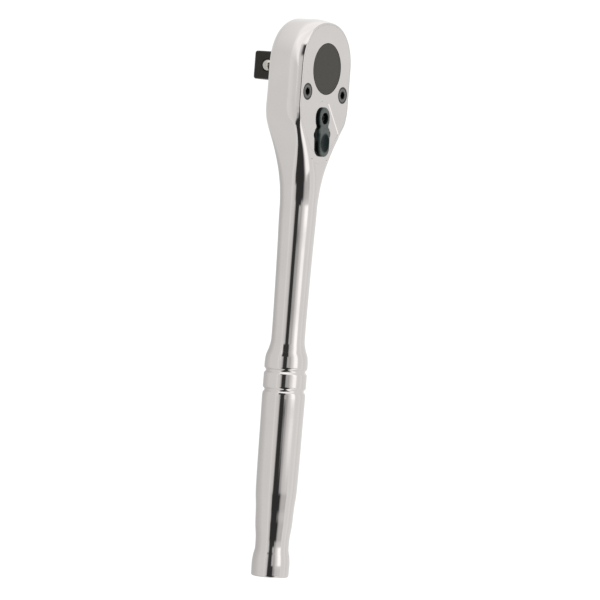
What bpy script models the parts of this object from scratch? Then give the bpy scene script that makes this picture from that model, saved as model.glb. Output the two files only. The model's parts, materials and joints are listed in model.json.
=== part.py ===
"""Half-inch drive ratchet wrench with a pear-shaped head and a one-piece forged handle.

Frame: metres, +Z up. The origin lies on the drive axis, at the end face of the drive square.
+X runs along the handle, from the drive axis to the end of the grip.
+Z points out of the face that carries the cover plate and the reversing lever.
"""

import math

import bmesh
import bpy
from mathutils import Matrix, Vector

MM = 0.001

# Drive square and head
SQUARE = 12.7 * MM
SQUARE_LENGTH = 16.2 * MM
SQUARE_EDGE = 1.1 * MM
HEAD_THICKNESS = 19.0 * MM

BACK_Z = SQUARE_LENGTH
AXIS_Z = BACK_Z + HEAD_THICKNESS / 2
FRONT_Z = BACK_Z + HEAD_THICKNESS

# Head and neck sections: distance from the drive axis, half width, half thickness, roundness of
# the front and back corners (1 is a full round), how far the side wall leans in towards the face,
# in mm, and how far up the side wall the lean starts
NECK = (
    (0, 21.6, 9.5, 0.05, 0.48, 1.3, 0.58),
    (12, 21.6, 9.5, 0.05, 0.48, 1.3, 0.58),
    (17, 21.6, 9.5, 0.05, 0.46, 1.3, 0.58),
    (20, 21.3, 9.5, 0.05, 0.42, 1.3, 0.58),
    (22, 20.85, 9.5, 0.06, 0.41, 1.25, 0.6),
    (24, 20.25, 9.5, 0.105, 0.4, 0.95, 0.72),
    (26, 19.36, 9.5, 0.26, 0.41, 0.25, 0.93),
    (28, 18.3, 9.5, 0.357, 0.43, 0.08, 0.93),
    (32, 16.1, 9.5, 0.474, 0.52, 0, 0.93),
    (36, 14.2, 9.48, 0.595, 0.64, 0, 0.93),
    (41.5, 12.2, 9.42, 0.758, 0.8, 0, 0.93),
    (48, 10.4, 9.2, 0.925, 0.94, 0, 0.93),
    (55, 9.1, 8.85, 0.98, 1, 0, 0.93),
    (63, 8.5, 8.5, 1, 1, 0, 0.93),
)
HEAD_END = 22.15 * MM
HEAD_END_POWER = 2.2
STRAIGHT_LEAN = 0.3
# Shank and grip: distance from the drive axis and radius, in mm
GRIP = (
    (63, 8.5),
    (82.7, 8.08),
    (104.4, 7.74),
    (118, 7.6),
    (122.6, 7.63),
    (126.3, 8.3),
    (130, 9.5),
    (133.5, 9.77),
    (147.9, 9.77),
    (158.7, 9.66),
    (180.4, 9.48),
    (191.2, 9.27),
    (198.4, 8.67),
    (205.6, 8.35),
    (212.8, 7.64),
    (216.4, 7.59),
    (220, 8.27),
    (223.7, 8.58),
    (228.5, 8.5),
    (229.3, 7.8),
)
GROOVES = (136.5 * MM, 145.3 * MM)
GROOVE_WIDTH = 3.0 * MM
GROOVE_DEPTH = 0.85 * MM
NECK_END = NECK[-1][0] * MM

# Gear pocket and drive gear
WALL = 3.5 * MM
FLOOR_Z = BACK_Z + WALL
PLATE_THICKNESS = 3.0 * MM
PLATE_Z = FRONT_Z - PLATE_THICKNESS
TEETH = 36
TOOTH_STEP = 2 * math.pi / TEETH
GEAR_TIP = 14.5 * MM
TOOTH_DEPTH = 1.0 * MM
GEAR_LAND = 0.25 * MM
TOOTH_FLANK = 0.8
POCKET_RADIUS = 15.0 * MM
WASHER_THICKNESS = 0.8 * MM
WASHER_OUTER = 13.2 * MM
GEAR_BOTTOM = FLOOR_Z + WASHER_THICKNESS + 0.2 * MM
GEAR_TOP = PLATE_Z - 0.4 * MM
HUB_RADIUS = 11.45 * MM
JOURNAL_RADIUS = 9.4 * MM
BORE_CLEARANCE = 0.15 * MM
DRIVE_SEAL_OUTER = 10.9 * MM
DRIVE_SEAL_HEIGHT = 1.2 * MM
HUB_SEAL_OUTER = 12.7 * MM
HUB_SEAL_Z = (32.9 * MM, 33.9 * MM)

# Detent ball in the square
BALL_RADIUS = 3.1 * MM
BALL_Z = 7.2 * MM
BALL_CENTRE = 4.65 * MM
BALL_BORE = 3.25 * MM
BALL_MOUTH = 2.85 * MM
BALL_LIP = 0.25 * MM
BALL_BORE_END = 2.6 * MM

# Cover and its screws
SEAM = 0.12 * MM
PLATE_INSET = 0.5 * MM
PLATE_NOSE_START = 30 * MM
PLATE_NOSE_END = 38.5 * MM
SCREW_X = 10.95 * MM
SCREW_Y = 14.75 * MM
SCREW_HEAD = 3.7 * MM
SCREW_SHANK = 1.95 * MM
SCREW_LENGTH = 11.0 * MM
SCREW_SOCKET = 3.0 * MM
SCREW_SOCKET_DEPTH = 2.0 * MM
HEAD_CONE = SCREW_HEAD - SCREW_SHANK

# Reversing lever, its stem and the pawl, all on one axis
LEVER_X = 22.2 * MM
# The lever swings this far to each side of the handle's line and the pawl this far the other way
LEVER_SWING = math.radians(9)
PAWL_SWING = math.radians(4.3)
LEVER_REST = math.radians(4.5)
PAWL_REST = -PAWL_SWING * LEVER_REST / LEVER_SWING
PLATFORM_DEPTH = 0.35 * MM
PLATFORM_Z = FRONT_Z - PLATFORM_DEPTH
PLATFORM_ARC = 7.5 * MM
PLATFORM_ARC_END = math.radians(149.5)
PLATFORM_SIDE_ANGLE = math.radians(37.6)
PLATFORM_REACH = 18.5 * MM
PLATFORM_ROUND = (2.0 * MM, 6.0 * MM)
PLATFORM_END = 42.5 * MM
LEVER_BOTTOM = PLATFORM_Z + 0.15 * MM
LEVER_EAR_TOP = FRONT_Z + 0.35 * MM
LEVER_HUB_TOP = FRONT_Z + 1.0 * MM
LEVER_PAD_TOP = FRONT_Z + 1.4 * MM
LEVER_BOSS = 4.4 * MM
LEVER_COUNTERBORE = 2.65 * MM
LEVER_LENGTH = 17.3 * MM
LEVER_HUB = (5.05 * MM, 4.35 * MM)
LEVER_BODY = 4.4 * MM
LEVER_TIP = 4.05 * MM
# The lever's edge from its hub to its tip: distance from the pivot and half width, in mm
LEVER_EARS = (
    (3.9, 3.3),
    (4.6, 3.85),
    (5.3, 5.35),
    (6.6, 6.55),
    (8.2, 6.45),
    (9.6, 5.15),
    (10.8, 4.25),
    (12.0, 4.1),
)
SCOOP_X = 11.0 * MM
SCOOP_RADIUS = 7.5 * MM
SCOOP_DEPTH = 0.85 * MM
LEVER_STEP = (5.0 * MM, 7.2 * MM)
LEVER_MARGIN = 8.0 * MM
SCREW_SEAT = 0.7 * MM
SCREW_HEIGHT = 1.2 * MM
SCREW_HEXAGON = 1.15 * MM
SCREW_HEXAGON_DEPTH = 0.8 * MM
SCREW_CORE = 1.25 * MM
SCREW_BORE = 1.4 * MM
SCREW_BOTTOM = 28.4 * MM
LEVER_SEAL_OUTER = 5.5 * MM
LEVER_SEAL_Z = (32.9 * MM, 33.9 * MM)
STEM_RADIUS = 3.6 * MM
STEM_TOP = PLATE_Z + 0.1 * MM
STEM_SOCKET_DEPTH = 2.0 * MM
PLUNGER_RADIUS = 1.25 * MM
PLUNGER_REACH = 4.3 * MM
PLUNGER_LENGTH = 3.1 * MM
PLUNGER_Z = 26.0 * MM
PLUNGER_BORE_END = 2.6 * MM
PAWL_BOTTOM = FLOOR_Z + 0.5 * MM
PAWL_TOP = PLATE_Z - 0.4 * MM
PAWL_HUB = 6.6 * MM
PAWL_TOOTH_ANGLES = (math.radians(25), math.radians(35))
PAWL_TOOTH_TIP = 13.72 * MM
PAWL_TOOTH_ROOT = 14.7 * MM
PAWL_TOOTH_LAND = 0.26 * MM
# Side of the pocket that the pawl swings in: distance from the drive axis and half width, in mm
PAWL_POCKET = ((8.0, 11.0), (12.2, 11.9), (16.2, 12.4), (20.5, 10.2))
PAWL_HOLLOW = 15.2 * MM
PAWL_HORN = 17.2 * MM
PAWL_RIDGE = 4.4 * MM
PAWL_DIMPLE = 4.65 * MM

GAP = 0.1 * MM
FACETS = 40
FLAT_ANGLE = math.radians(0.05)
STATION_STEP = 3.5 * MM
THROUGH = 60 * MM

# Materials: colour, metallic, roughness
FINISHES = {
    "chrome": ((0.72, 0.71, 0.70), 1.0, 0.08),
    "black_oxide": ((0.022, 0.022, 0.02), 0.6, 0.42),
    "hub_black": ((0.075, 0.07, 0.062), 0.55, 0.6),
    "lever_black": ((0.045, 0.055, 0.052), 0.5, 0.36),
    "screw_black": ((0.1, 0.1, 0.1), 0.8, 0.4),
    "bright_steel": ((0.75, 0.75, 0.73), 1.0, 0.12),
    "spring_steel": ((0.45, 0.45, 0.44), 1.0, 0.3),
    "seal_rubber": ((0.02, 0.02, 0.02), 0.0, 0.7),
}


# ---------------------------------------------------------------- scene and helpers


def clear_scene():
    for item in list(bpy.data.objects):
        bpy.data.objects.remove(item, do_unlink=True)


def new_collection(name):
    collection = bpy.data.collections.new(name)
    bpy.context.scene.collection.children.link(collection)
    return collection


def make_finish(name):
    colour, metallic, roughness = FINISHES[name]
    material = bpy.data.materials.new(name)
    material.use_nodes = True
    shader = material.node_tree.nodes["Principled BSDF"]
    shader.inputs["Base Color"].default_value = (*colour, 1)
    shader.inputs["Metallic"].default_value = metallic
    shader.inputs["Roughness"].default_value = roughness
    return material


def link_mesh(name, mesh, collection, finish=None):
    body = bpy.data.objects.new(name, mesh)
    collection.objects.link(body)
    if finish:
        mesh.materials.append(MATERIALS[finish])
        mesh.shade_smooth()
        mesh.set_sharp_from_angle(angle=math.radians(30))
    else:
        body.hide_render = True
        body.display_type = "WIRE"
    return body


def mesh_from_bmesh(name, shape):
    bmesh.ops.recalc_face_normals(shape, faces=shape.faces)
    mesh = bpy.data.meshes.new(name)
    shape.to_mesh(mesh)
    shape.free()
    return mesh


def evaluated_mesh(body):
    """The body's shape with its modifiers applied, welded, as a mesh of its own."""
    depsgraph = bpy.context.evaluated_depsgraph_get()
    mesh = bpy.data.meshes.new_from_object(body.evaluated_get(depsgraph))
    shape = bmesh.new()
    shape.from_mesh(mesh)
    bmesh.ops.remove_doubles(shape, verts=shape.verts, dist=1e-6)
    bmesh.ops.dissolve_limit(shape, angle_limit=FLAT_ANGLE, verts=shape.verts, edges=shape.edges)
    bmesh.ops.recalc_face_normals(shape, faces=shape.faces)
    shape.to_mesh(mesh)
    shape.free()
    return mesh


def turned_mesh(name, profile, facets=FACETS):
    """A solid turned about Z. The profile is (radius, height) pairs from its top down to its bottom."""
    outline = bpy.data.meshes.new(name)
    points = [(radius, 0, height) for radius, height in profile]
    edges = [(i, i + 1) for i in range(len(points) - 1)]
    if profile[0][0] > 0:
        edges.append((len(points) - 1, 0))
    outline.from_pydata(points, edges, [])
    turning = bpy.data.objects.new(name, outline)
    bpy.context.scene.collection.objects.link(turning)
    screw = turning.modifiers.new("Turn", "SCREW")
    screw.steps = facets
    screw.render_steps = facets
    screw.use_merge_vertices = True
    screw.merge_threshold = 1e-6
    mesh = evaluated_mesh(turning)
    bpy.data.objects.remove(turning)
    return mesh


def prism_mesh(name, outline, bottom, top):
    """A flat outline in X and Y, extruded from one height to another."""
    curve = bpy.data.curves.new(name, "CURVE")
    curve.dimensions = "2D"
    curve.fill_mode = "BOTH"
    curve.extrude = (top - bottom) / 2
    spline = curve.splines.new("POLY")
    spline.points.add(len(outline) - 1)
    for point, (x, y) in zip(spline.points, outline):
        point.co = (x, y, 0, 1)
    spline.use_cyclic_u = True
    flat = bpy.data.objects.new(name, curve)
    bpy.context.scene.collection.objects.link(flat)
    mesh = evaluated_mesh(flat)
    mesh.transform(Matrix.Translation((0, 0, (top + bottom) / 2)))
    bpy.data.objects.remove(flat)
    return mesh


def cylinder_mesh(name, radius, bottom, top, facets=FACETS):
    shape = bmesh.new()
    place = Matrix.Translation((0, 0, (top + bottom) / 2))
    bmesh.ops.create_cone(
        shape,
        cap_ends=True,
        segments=facets,
        radius1=radius,
        radius2=radius,
        depth=top - bottom,
        matrix=place,
    )
    return mesh_from_bmesh(name, shape)


def boolean(body, cutter, operation="DIFFERENCE"):
    modifier = body.modifiers.new(cutter.name, "BOOLEAN")
    modifier.operation = operation
    modifier.solver = "EXACT"
    modifier.object = cutter


def bevel(body, width, segments=2, angle=35):
    modifier = body.modifiers.new("Bevel", "BEVEL")
    modifier.width = width
    modifier.segments = segments
    modifier.limit_method = "ANGLE"
    modifier.angle_limit = math.radians(angle)


def mirrored(half):
    """A closed outline from its +Y half, which runs from -X to +X."""
    on_axis = 1e-6
    half = [(x, y if y > on_axis else 0.0) for x, y in half]
    return half + [(x, -y) for x, y in reversed(half) if y > 0]


def polar(radius, angle):
    return (radius * math.cos(angle), radius * math.sin(angle))


def arc(centre_x, radius, start, end, steps):
    angles = [start + (end - start) * i / steps for i in range(steps + 1)]
    return [(centre_x + radius * math.cos(a), radius * math.sin(a)) for a in angles]


def turn_about_lever(point, angle):
    x = point[0] - LEVER_X
    y = point[1]
    cosine = math.cos(angle)
    sine = math.sin(angle)
    return (LEVER_X + x * cosine - y * sine, x * sine + y * cosine)


# ---------------------------------------------------------------- handle sections


def smooth_value(table, column, x):
    """Reads a table between its rows with a monotone curve, so it never overshoots."""
    xs = [row[0] for row in table]
    ys = [row[column] for row in table]
    slopes = [(ys[i + 1] - ys[i]) / (xs[i + 1] - xs[i]) for i in range(len(xs) - 1)]

    def tangent(i):
        if i == 0 or i == len(xs) - 1:
            return 0.0
        before = slopes[i - 1]
        after = slopes[i]
        if before * after <= 0:
            return 0.0
        return 2 * before * after / (before + after)

    x = min(max(x, xs[0]), xs[-1])
    i = max(k for k in range(len(xs) - 1) if xs[k] <= x)
    width = xs[i + 1] - xs[i]
    t = (x - xs[i]) / width
    return (
        (1 + 2 * t) * (1 - t) ** 2 * ys[i]
        + t * (1 - t) ** 2 * width * tangent(i)
        + t * t * (3 - 2 * t) * ys[i + 1]
        + t * t * (t - 1) * width * tangent(i + 1)
    )


def grip_radius(x):
    radius = smooth_value(GRIP, 1, x / MM) * MM
    for groove in GROOVES:
        offset = abs(x - groove) / (GROOVE_WIDTH / 2)
        if offset < 1:
            radius -= GROOVE_DEPTH * (0.5 + 0.5 * math.cos(math.pi * offset))
    return radius


def section_shape(x):
    """The values of one row of the neck table, at any distance along the handle."""
    if x > NECK_END:
        radius = grip_radius(x)
        return radius, radius, 1.0, 1.0, 0.0, 1.0
    width, thickness, front, back, lean, crease = [smooth_value(NECK, c, x / MM) for c in range(1, 7)]
    return width * MM, thickness * MM, front, back, lean * MM, crease


def face_half_width(x):
    """Half width of the flat face, between its rounded edges."""
    width, thickness, front, _, lean, _ = section_shape(x)
    return width - lean - front * min(width, thickness)


def corner(start, start_step, end, end_step):
    """A curved corner between two points, with the handle of each end as a step from it."""
    points = []
    for i in range(CORNER_STEPS + 1):
        t = i / CORNER_STEPS
        first = start + CORNER_REACH * start_step
        second = end + CORNER_REACH * end_step
        points.append(
            (1 - t) ** 3 * start + 3 * (1 - t) ** 2 * t * first + 3 * (1 - t) * t * t * second + t**3 * end
        )
    return points


CORNER_REACH = 0.5523
CORNER_STEPS = 24
# How many pieces each stretch of a half section is split into: back, back corner, side wall,
# leaning wall, front corner and front
STRETCH_STEPS = (1, 5, 2, 4, 5, 1)


def half_section(x):
    """Points from the middle of the back face, round the +Y side, to the middle of the front face."""
    width, thickness, front, back, lean, crease_share = section_shape(x)
    front_radius = front * min(width, thickness)
    back_radius = back * min(width, thickness)
    bottom = Vector((width, back_radius - thickness))
    top = Vector((width - lean, thickness - front_radius))
    crease = Vector((width, bottom.y + crease_share * (top.y - bottom.y)))
    slope = Vector((-lean * (2 - STRAIGHT_LEAN) / max(top.y - crease.y, 0.01 * MM), 1)).normalized()
    back_edge = Vector((width - back_radius, -thickness))
    face_edge = Vector((top.x - front_radius, thickness))
    leaning = []
    for i in range(CORNER_STEPS + 1):
        share = i / CORNER_STEPS
        inward = STRAIGHT_LEAN * share + (1 - STRAIGHT_LEAN) * share**2
        leaning.append(Vector((width - lean * inward, crease.y + (top.y - crease.y) * share)))
    stretches = (
        [Vector((0, -thickness)), back_edge],
        corner(back_edge, Vector((back_radius, 0)), bottom, Vector((0, -back_radius))),
        [bottom, crease],
        leaning,
        corner(top, front_radius * slope, face_edge, Vector((front_radius, 0))),
        [face_edge, Vector((0, thickness))],
    )
    path = [point for stretch in stretches for point in stretch]
    lengths = [0.0]
    for before, after in zip(path, path[1:]):
        lengths.append(lengths[-1] + (after - before).length)
    stops = []
    first = 0
    for stretch, pieces in zip(stretches, STRETCH_STEPS):
        start = lengths[first]
        end = lengths[first + len(stretch) - 1]
        stops += [start + (end - start) * i / pieces for i in range(pieces)]
        first += len(stretch)
    stops.append(lengths[-1])
    even = min(max((front - 0.3) / 0.6, 0), 1)
    points = []
    for i, stop in enumerate(stops):
        stop = (1 - even) * stop + even * lengths[-1] * i / (len(stops) - 1)
        k = max(j for j in range(len(path) - 1) if lengths[j] <= stop + 1e-12)
        share = (stop - lengths[k]) / max(lengths[k + 1] - lengths[k], 1e-12)
        points.append(path[k].lerp(path[k + 1], min(share, 1)))
    points[0].x = 0
    points[-1].x = 0
    return [(point.x, point.y) for point in points]


def head_end_point(reach, angle):
    """X and Y on the head's end, turning from +Y towards -X: a little squarer than a circle."""
    cosine = math.cos(angle)
    sine = math.sin(angle)
    reach /= (abs(cosine) ** HEAD_END_POWER + abs(sine) ** HEAD_END_POWER) ** (1 / HEAD_END_POWER)
    return -reach * sine * HEAD_END / (NECK[0][1] * MM), reach * cosine


def stations():
    places = [NECK_END * i / 18 for i in range(19)]
    places += [NECK_END + (GRIP[3][0] * MM - NECK_END) * i / 4 for i in range(1, 5)]
    places += [row[0] * MM for row in GRIP[4:]]
    for groove in GROOVES:
        places += [groove + GROOVE_WIDTH * i / 4 for i in range(-2, 3)]
    return sorted(set(places))


def handle_mesh():
    """The head's round end is its section turned half a turn, and the rest is a loft along X."""
    shape = bmesh.new()
    half = half_section(0)
    turn_steps = 20
    bottom = shape.verts.new((0, 0, AXIS_Z + half[0][1]))
    top = shape.verts.new((0, 0, AXIS_Z + half[-1][1]))
    columns = []
    for j in range(turn_steps + 1):
        angle = math.pi * j / turn_steps
        middle = [shape.verts.new((*head_end_point(y, angle), AXIS_Z + z)) for y, z in half[1:-1]]
        columns.append([bottom, *middle, top])
    for near, far in zip(columns, columns[1:]):
        for k in range(len(near) - 1):
            corners = dict.fromkeys((near[k], near[k + 1], far[k + 1], far[k]))
            shape.faces.new(list(corners))
    ring = columns[0] + columns[-1][-2:0:-1]
    for x in stations()[1:]:
        side = half_section(x)
        outline = side + [(-y, z) for y, z in side[-2:0:-1]]
        following = [shape.verts.new((x, y, AXIS_Z + z)) for y, z in outline]
        for k in range(len(ring)):
            n = (k + 1) % len(ring)
            shape.faces.new((ring[k], ring[n], following[n], following[k]))
        ring = following
    shape.faces.new(ring)
    return mesh_from_bmesh("handle_body", shape)


# ---------------------------------------------------------------- outlines shared by several pieces


def plate_outline(inset):
    """The cover plate: round at the drive axis, then down the flat face to a round nose."""
    radius = face_half_width(0) - inset
    half = [head_end_point(radius, math.pi / 2 * (1 - i / 16)) for i in range(17)]
    nose_length = PLATE_NOSE_END - inset - PLATE_NOSE_START
    nose_width = face_half_width(PLATE_NOSE_START) - inset
    for x in [STATION_STEP * i for i in range(1, 9)]:
        half.append((x, face_half_width(x) - inset))
    for i in range(9):
        angle = math.pi / 2 * (1 - i / 8)
        x = PLATE_NOSE_START + nose_length * math.cos(angle)
        half.append((x, min(nose_width * math.sin(angle), face_half_width(x) - inset)))
    ordered = sorted((x, y) for x, y in half)
    return mirrored(ordered[:-1] + [(ordered[-1][0], 0.0)])


def platform_outline():
    """The lowered part of the face that the lever sweeps over, open past both sides of the neck."""
    half = arc(LEVER_X, PLATFORM_ARC, math.pi, PLATFORM_ARC_END, 6)
    x, y = half[-1]
    half.append((x + (PLATFORM_REACH - y) / math.tan(PLATFORM_SIDE_ANGLE), PLATFORM_REACH))
    half.append((PLATFORM_END - PLATFORM_ROUND[0], PLATFORM_REACH))
    for i in range(5):
        angle = math.pi / 2 * (1 - i / 4)
        across = PLATFORM_ROUND[1] * math.sin(angle)
        half.append((PLATFORM_END - PLATFORM_ROUND[0] * (1 - math.cos(angle)), across))
    return mirrored(half)


def pawl_pocket_outline():
    half = [(x * MM, y * MM) for x, y in PAWL_POCKET]
    half += arc(LEVER_X, PAWL_HUB + 0.5 * MM, math.radians(62), 0, 8)
    return mirrored([(half[0][0], 0.0)] + half)


def ring_cutter(name, inner, outer, bottom, top):
    return link_mesh(
        name,
        turned_mesh(name, [(outer, top), (outer, bottom), (inner, bottom), (inner, top)]),
        CUTTERS,
    )


# ---------------------------------------------------------------- sub-parts


def make_platform_cutter():
    mesh = prism_mesh("platform_cut", platform_outline(), PLATFORM_Z, FRONT_Z + 10 * MM)
    return link_mesh("platform_cut", mesh, CUTTERS)


def cut_cylinder(body, name, radius, bottom, top, x=0.0, y=0.0, facets=FACETS):
    cutter = link_mesh(name, cylinder_mesh(name, radius, bottom, top, facets), CUTTERS)
    cutter.location = (x, y, 0)
    boolean(body, cutter)


def make_handle(platform):
    body = link_mesh("handle_body", handle_mesh(), PARTS, "chrome")
    for name, side in (("left", -1), ("right", 1)):
        bottom = FRONT_Z - SCREW_LENGTH - 1 * MM
        hole = SCREW_SHANK + BORE_CLEARANCE
        cut_cylinder(body, f"screw_hole_{name}", hole, bottom, THROUGH, SCREW_X, side * SCREW_Y, 16)
    recess = prism_mesh("plate_recess", plate_outline(PLATE_INSET - SEAM), PLATE_Z - GAP, FRONT_Z + 5 * MM)
    boolean(body, link_mesh("plate_recess", recess, CUTTERS))
    boolean(body, platform)
    pocket = prism_mesh("pawl_pocket", pawl_pocket_outline(), FLOOR_Z, FRONT_Z)
    boolean(body, link_mesh("pawl_pocket", pocket, CUTTERS))
    cut_cylinder(body, "gear_pocket", POCKET_RADIUS, FLOOR_Z, THROUGH)
    cut_cylinder(body, "drive_bore", JOURNAL_RADIUS + BORE_CLEARANCE, BACK_Z - 5 * MM, FRONT_Z)
    seal_bottom = FLOOR_Z - DRIVE_SEAL_HEIGHT
    cut_cylinder(body, "drive_seal_seat", DRIVE_SEAL_OUTER, seal_bottom, FRONT_Z)
    socket_bottom = FLOOR_Z - STEM_SOCKET_DEPTH
    cut_cylinder(body, "stem_socket", STEM_RADIUS + BORE_CLEARANCE, socket_bottom, FRONT_Z, LEVER_X, 0, 24)


def screw_profile(clearance):
    """A countersunk head and shank, from the face down, with the head flush with the face."""
    head = SCREW_HEAD + clearance
    shank = SCREW_SHANK + clearance
    top = FRONT_Z - 0.05 * MM
    rim = top - 0.45 * MM - clearance
    return [
        (0, top),
        (head, top),
        (head, rim),
        (shank, rim - HEAD_CONE),
        (shank, FRONT_Z - SCREW_LENGTH),
        (0, FRONT_Z - SCREW_LENGTH),
    ]


def countersink_profile():
    profile = screw_profile(GAP)
    return [(0, FRONT_Z + 5 * MM), (profile[1][0], FRONT_Z + 5 * MM)] + profile[2:]


def make_plate(platform):
    mesh = prism_mesh("cover_plate", plate_outline(PLATE_INSET), PLATE_Z, FRONT_Z)
    plate = link_mesh("cover_plate", mesh, PARTS, "chrome")
    boolean(plate, platform)
    cut_cylinder(plate, "hub_hole", HUB_RADIUS + BORE_CLEARANCE, PLATE_Z - THROUGH, THROUGH)
    lever_hole = LEVER_BOSS + BORE_CLEARANCE
    cut_cylinder(plate, "lever_hole", lever_hole, PLATE_Z - THROUGH, THROUGH, LEVER_X, 0, 32)
    groove = ring_cutter("lever_seal_groove", 4.0 * MM, LEVER_SEAL_OUTER, *LEVER_SEAL_Z)
    groove.location.x = LEVER_X
    boolean(plate, groove)
    boolean(plate, ring_cutter("hub_seal_groove", 11.0 * MM, HUB_SEAL_OUTER, *HUB_SEAL_Z))
    for name, side in (("left", -1), ("right", 1)):
        sink_mesh = turned_mesh("countersink", countersink_profile(), 24)
        sink = link_mesh(f"countersink_{name}", sink_mesh, CUTTERS)
        sink.location = (SCREW_X, side * SCREW_Y, 0)
        boolean(plate, sink)


def make_cover_screw(name, side):
    screw = link_mesh(name, turned_mesh(name, screw_profile(0), 24), PARTS, "screw_black")
    screw.location = (SCREW_X, side * SCREW_Y, 0)
    hexagon = SCREW_SOCKET / 2 / math.cos(math.pi / 6)
    socket_bottom = FRONT_Z - SCREW_SOCKET_DEPTH
    cut_cylinder(
        screw, f"{name}_socket", hexagon, socket_bottom, THROUGH, SCREW_X, side * SCREW_Y, 6
    )


def gear_outline():
    """Straight-flanked teeth with a gap, not a tooth, on the X axis at every tenth degree."""
    root = GEAR_TIP - TOOTH_DEPTH
    tip_half = GEAR_LAND / GEAR_TIP
    gap_half = TOOTH_STEP / 2 - tip_half
    root_half = gap_half - TOOTH_FLANK * TOOTH_DEPTH / GEAR_TIP
    outline = []
    for i in range(TEETH):
        middle = math.radians(5) + TOOTH_STEP * i
        outline.append(polar(GEAR_TIP, middle - gap_half))
        outline.append(polar(root, middle - root_half))
        outline.append(polar(root, middle + root_half))
        outline.append(polar(GEAR_TIP, middle + gap_half))
    return outline


def make_drive_gear():
    """Toothed rim, front hub, back journal and square drive, in one piece."""
    mesh = prism_mesh("drive_gear", gear_outline(), GEAR_BOTTOM, GEAR_TOP)
    gear = link_mesh("drive_gear", mesh, PARTS, "black_oxide")
    edge = 0.35 * MM
    profile = [
        (0, FRONT_Z),
        (HUB_RADIUS - edge, FRONT_Z),
        (HUB_RADIUS, FRONT_Z - edge),
        (HUB_RADIUS, GEAR_TOP - 1 * MM),
        (JOURNAL_RADIUS, GEAR_TOP - 2 * MM),
        (JOURNAL_RADIUS, BACK_Z + edge),
        (JOURNAL_RADIUS - edge, BACK_Z),
        (0, BACK_Z),
    ]
    boolean(gear, link_mesh("gear_spindle", turned_mesh("gear_spindle", profile), CUTTERS), "UNION")
    shape = bmesh.new()
    tang_height = SQUARE_LENGTH + 3 * MM
    size = Matrix.Diagonal((SQUARE, SQUARE, tang_height, 1))
    bmesh.ops.create_cube(shape, size=1, matrix=Matrix.Translation((0, 0, tang_height / 2)) @ size)
    tang = link_mesh("square_tang", mesh_from_bmesh("square_tang", shape), CUTTERS)
    bevel(tang, SQUARE_EDGE, 2)
    boolean(gear, tang, "UNION")
    lip_z = SQUARE / 2 - BALL_LIP
    bore = [(0, SQUARE), (BALL_MOUTH, SQUARE), (BALL_MOUTH, lip_z), (BALL_BORE, lip_z)]
    bore += [(BALL_BORE, -BALL_BORE_END), (0, -BALL_BORE_END)]
    ball_bore = link_mesh("ball_bore", turned_mesh("ball_bore", bore, 24), CUTTERS)
    ball_bore.location.z = BALL_Z
    ball_bore.rotation_euler.x = math.pi / 2
    boolean(gear, ball_bore)
    gear.data.materials.append(MATERIALS["hub_black"])


def make_ball():
    shape = bmesh.new()
    bmesh.ops.create_uvsphere(shape, u_segments=20, v_segments=14, radius=BALL_RADIUS)
    ball = link_mesh("detent_ball", mesh_from_bmesh("detent_ball", shape), PARTS, "bright_steel")
    ball.location = (0, -BALL_CENTRE, BALL_Z)
    ball.rotation_euler.x = math.pi / 2


def make_spring(name, radius, wire, length, turns, location, direction):
    """A coil of round wire that starts at its location and runs along a direction."""
    curve = bpy.data.curves.new(name, "CURVE")
    curve.dimensions = "3D"
    curve.bevel_depth = wire / 2
    curve.bevel_resolution = 1
    curve.use_fill_caps = True
    spline = curve.splines.new("POLY")
    count = 10 * turns
    spline.points.add(count)
    for i, point in enumerate(spline.points):
        angle = 2 * math.pi * i / 10
        point.co = (radius * math.cos(angle), radius * math.sin(angle), length * i / count, 1)
    coil = bpy.data.objects.new(name, curve)
    bpy.context.scene.collection.objects.link(coil)
    mesh = evaluated_mesh(coil)
    bpy.data.objects.remove(coil)
    spring = link_mesh(name, mesh, PARTS, "spring_steel")
    spring.location = location
    spring.rotation_euler = Vector(direction).to_track_quat("Z", "Y").to_euler()


def make_ring(name, inner, outer, bottom, top, x, finish="seal_rubber"):
    """A seal or washer: a ring with chamfered edges."""
    edge = min(outer - inner, top - bottom) / 4
    profile = [
        (inner + edge, top),
        (outer - edge, top),
        (outer, top - edge),
        (outer, bottom + edge),
        (outer - edge, bottom),
        (inner + edge, bottom),
        (inner, bottom + edge),
        (inner, top - edge),
    ]
    ring = link_mesh(name, turned_mesh(name, profile, 32), PARTS, finish)
    ring.location.x = x


def pawl_front():
    """Front edge of one half of the pawl, with the teeth that fit the gear when that half is in mesh."""
    points = [polar(PAWL_HOLLOW, 0), polar(PAWL_HOLLOW, math.radians(17))]
    rise = PAWL_TOOTH_ROOT - PAWL_TOOTH_TIP
    for angle in PAWL_TOOTH_ANGLES:
        tip = PAWL_TOOTH_LAND / PAWL_TOOTH_TIP
        root = (PAWL_TOOTH_LAND + TOOTH_FLANK * rise) / PAWL_TOOTH_ROOT
        points.append(polar(PAWL_TOOTH_ROOT, angle - root))
        points.append(polar(PAWL_TOOTH_TIP, angle - tip))
        points.append(polar(PAWL_TOOTH_TIP, angle + tip))
        points.append(polar(PAWL_TOOTH_ROOT, angle + root))
    points.append(polar(PAWL_HORN, math.radians(38)))
    placed = [turn_about_lever(point, -PAWL_SWING) for point in points[1:]]
    return [points[0]] + placed


def pawl_outline():
    """The pawl midway between its two positions: teeth at both horns and a round hub."""
    back = arc(LEVER_X, PAWL_HUB, math.radians(62), 0, 8)
    return mirrored(pawl_front() + back)


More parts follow.
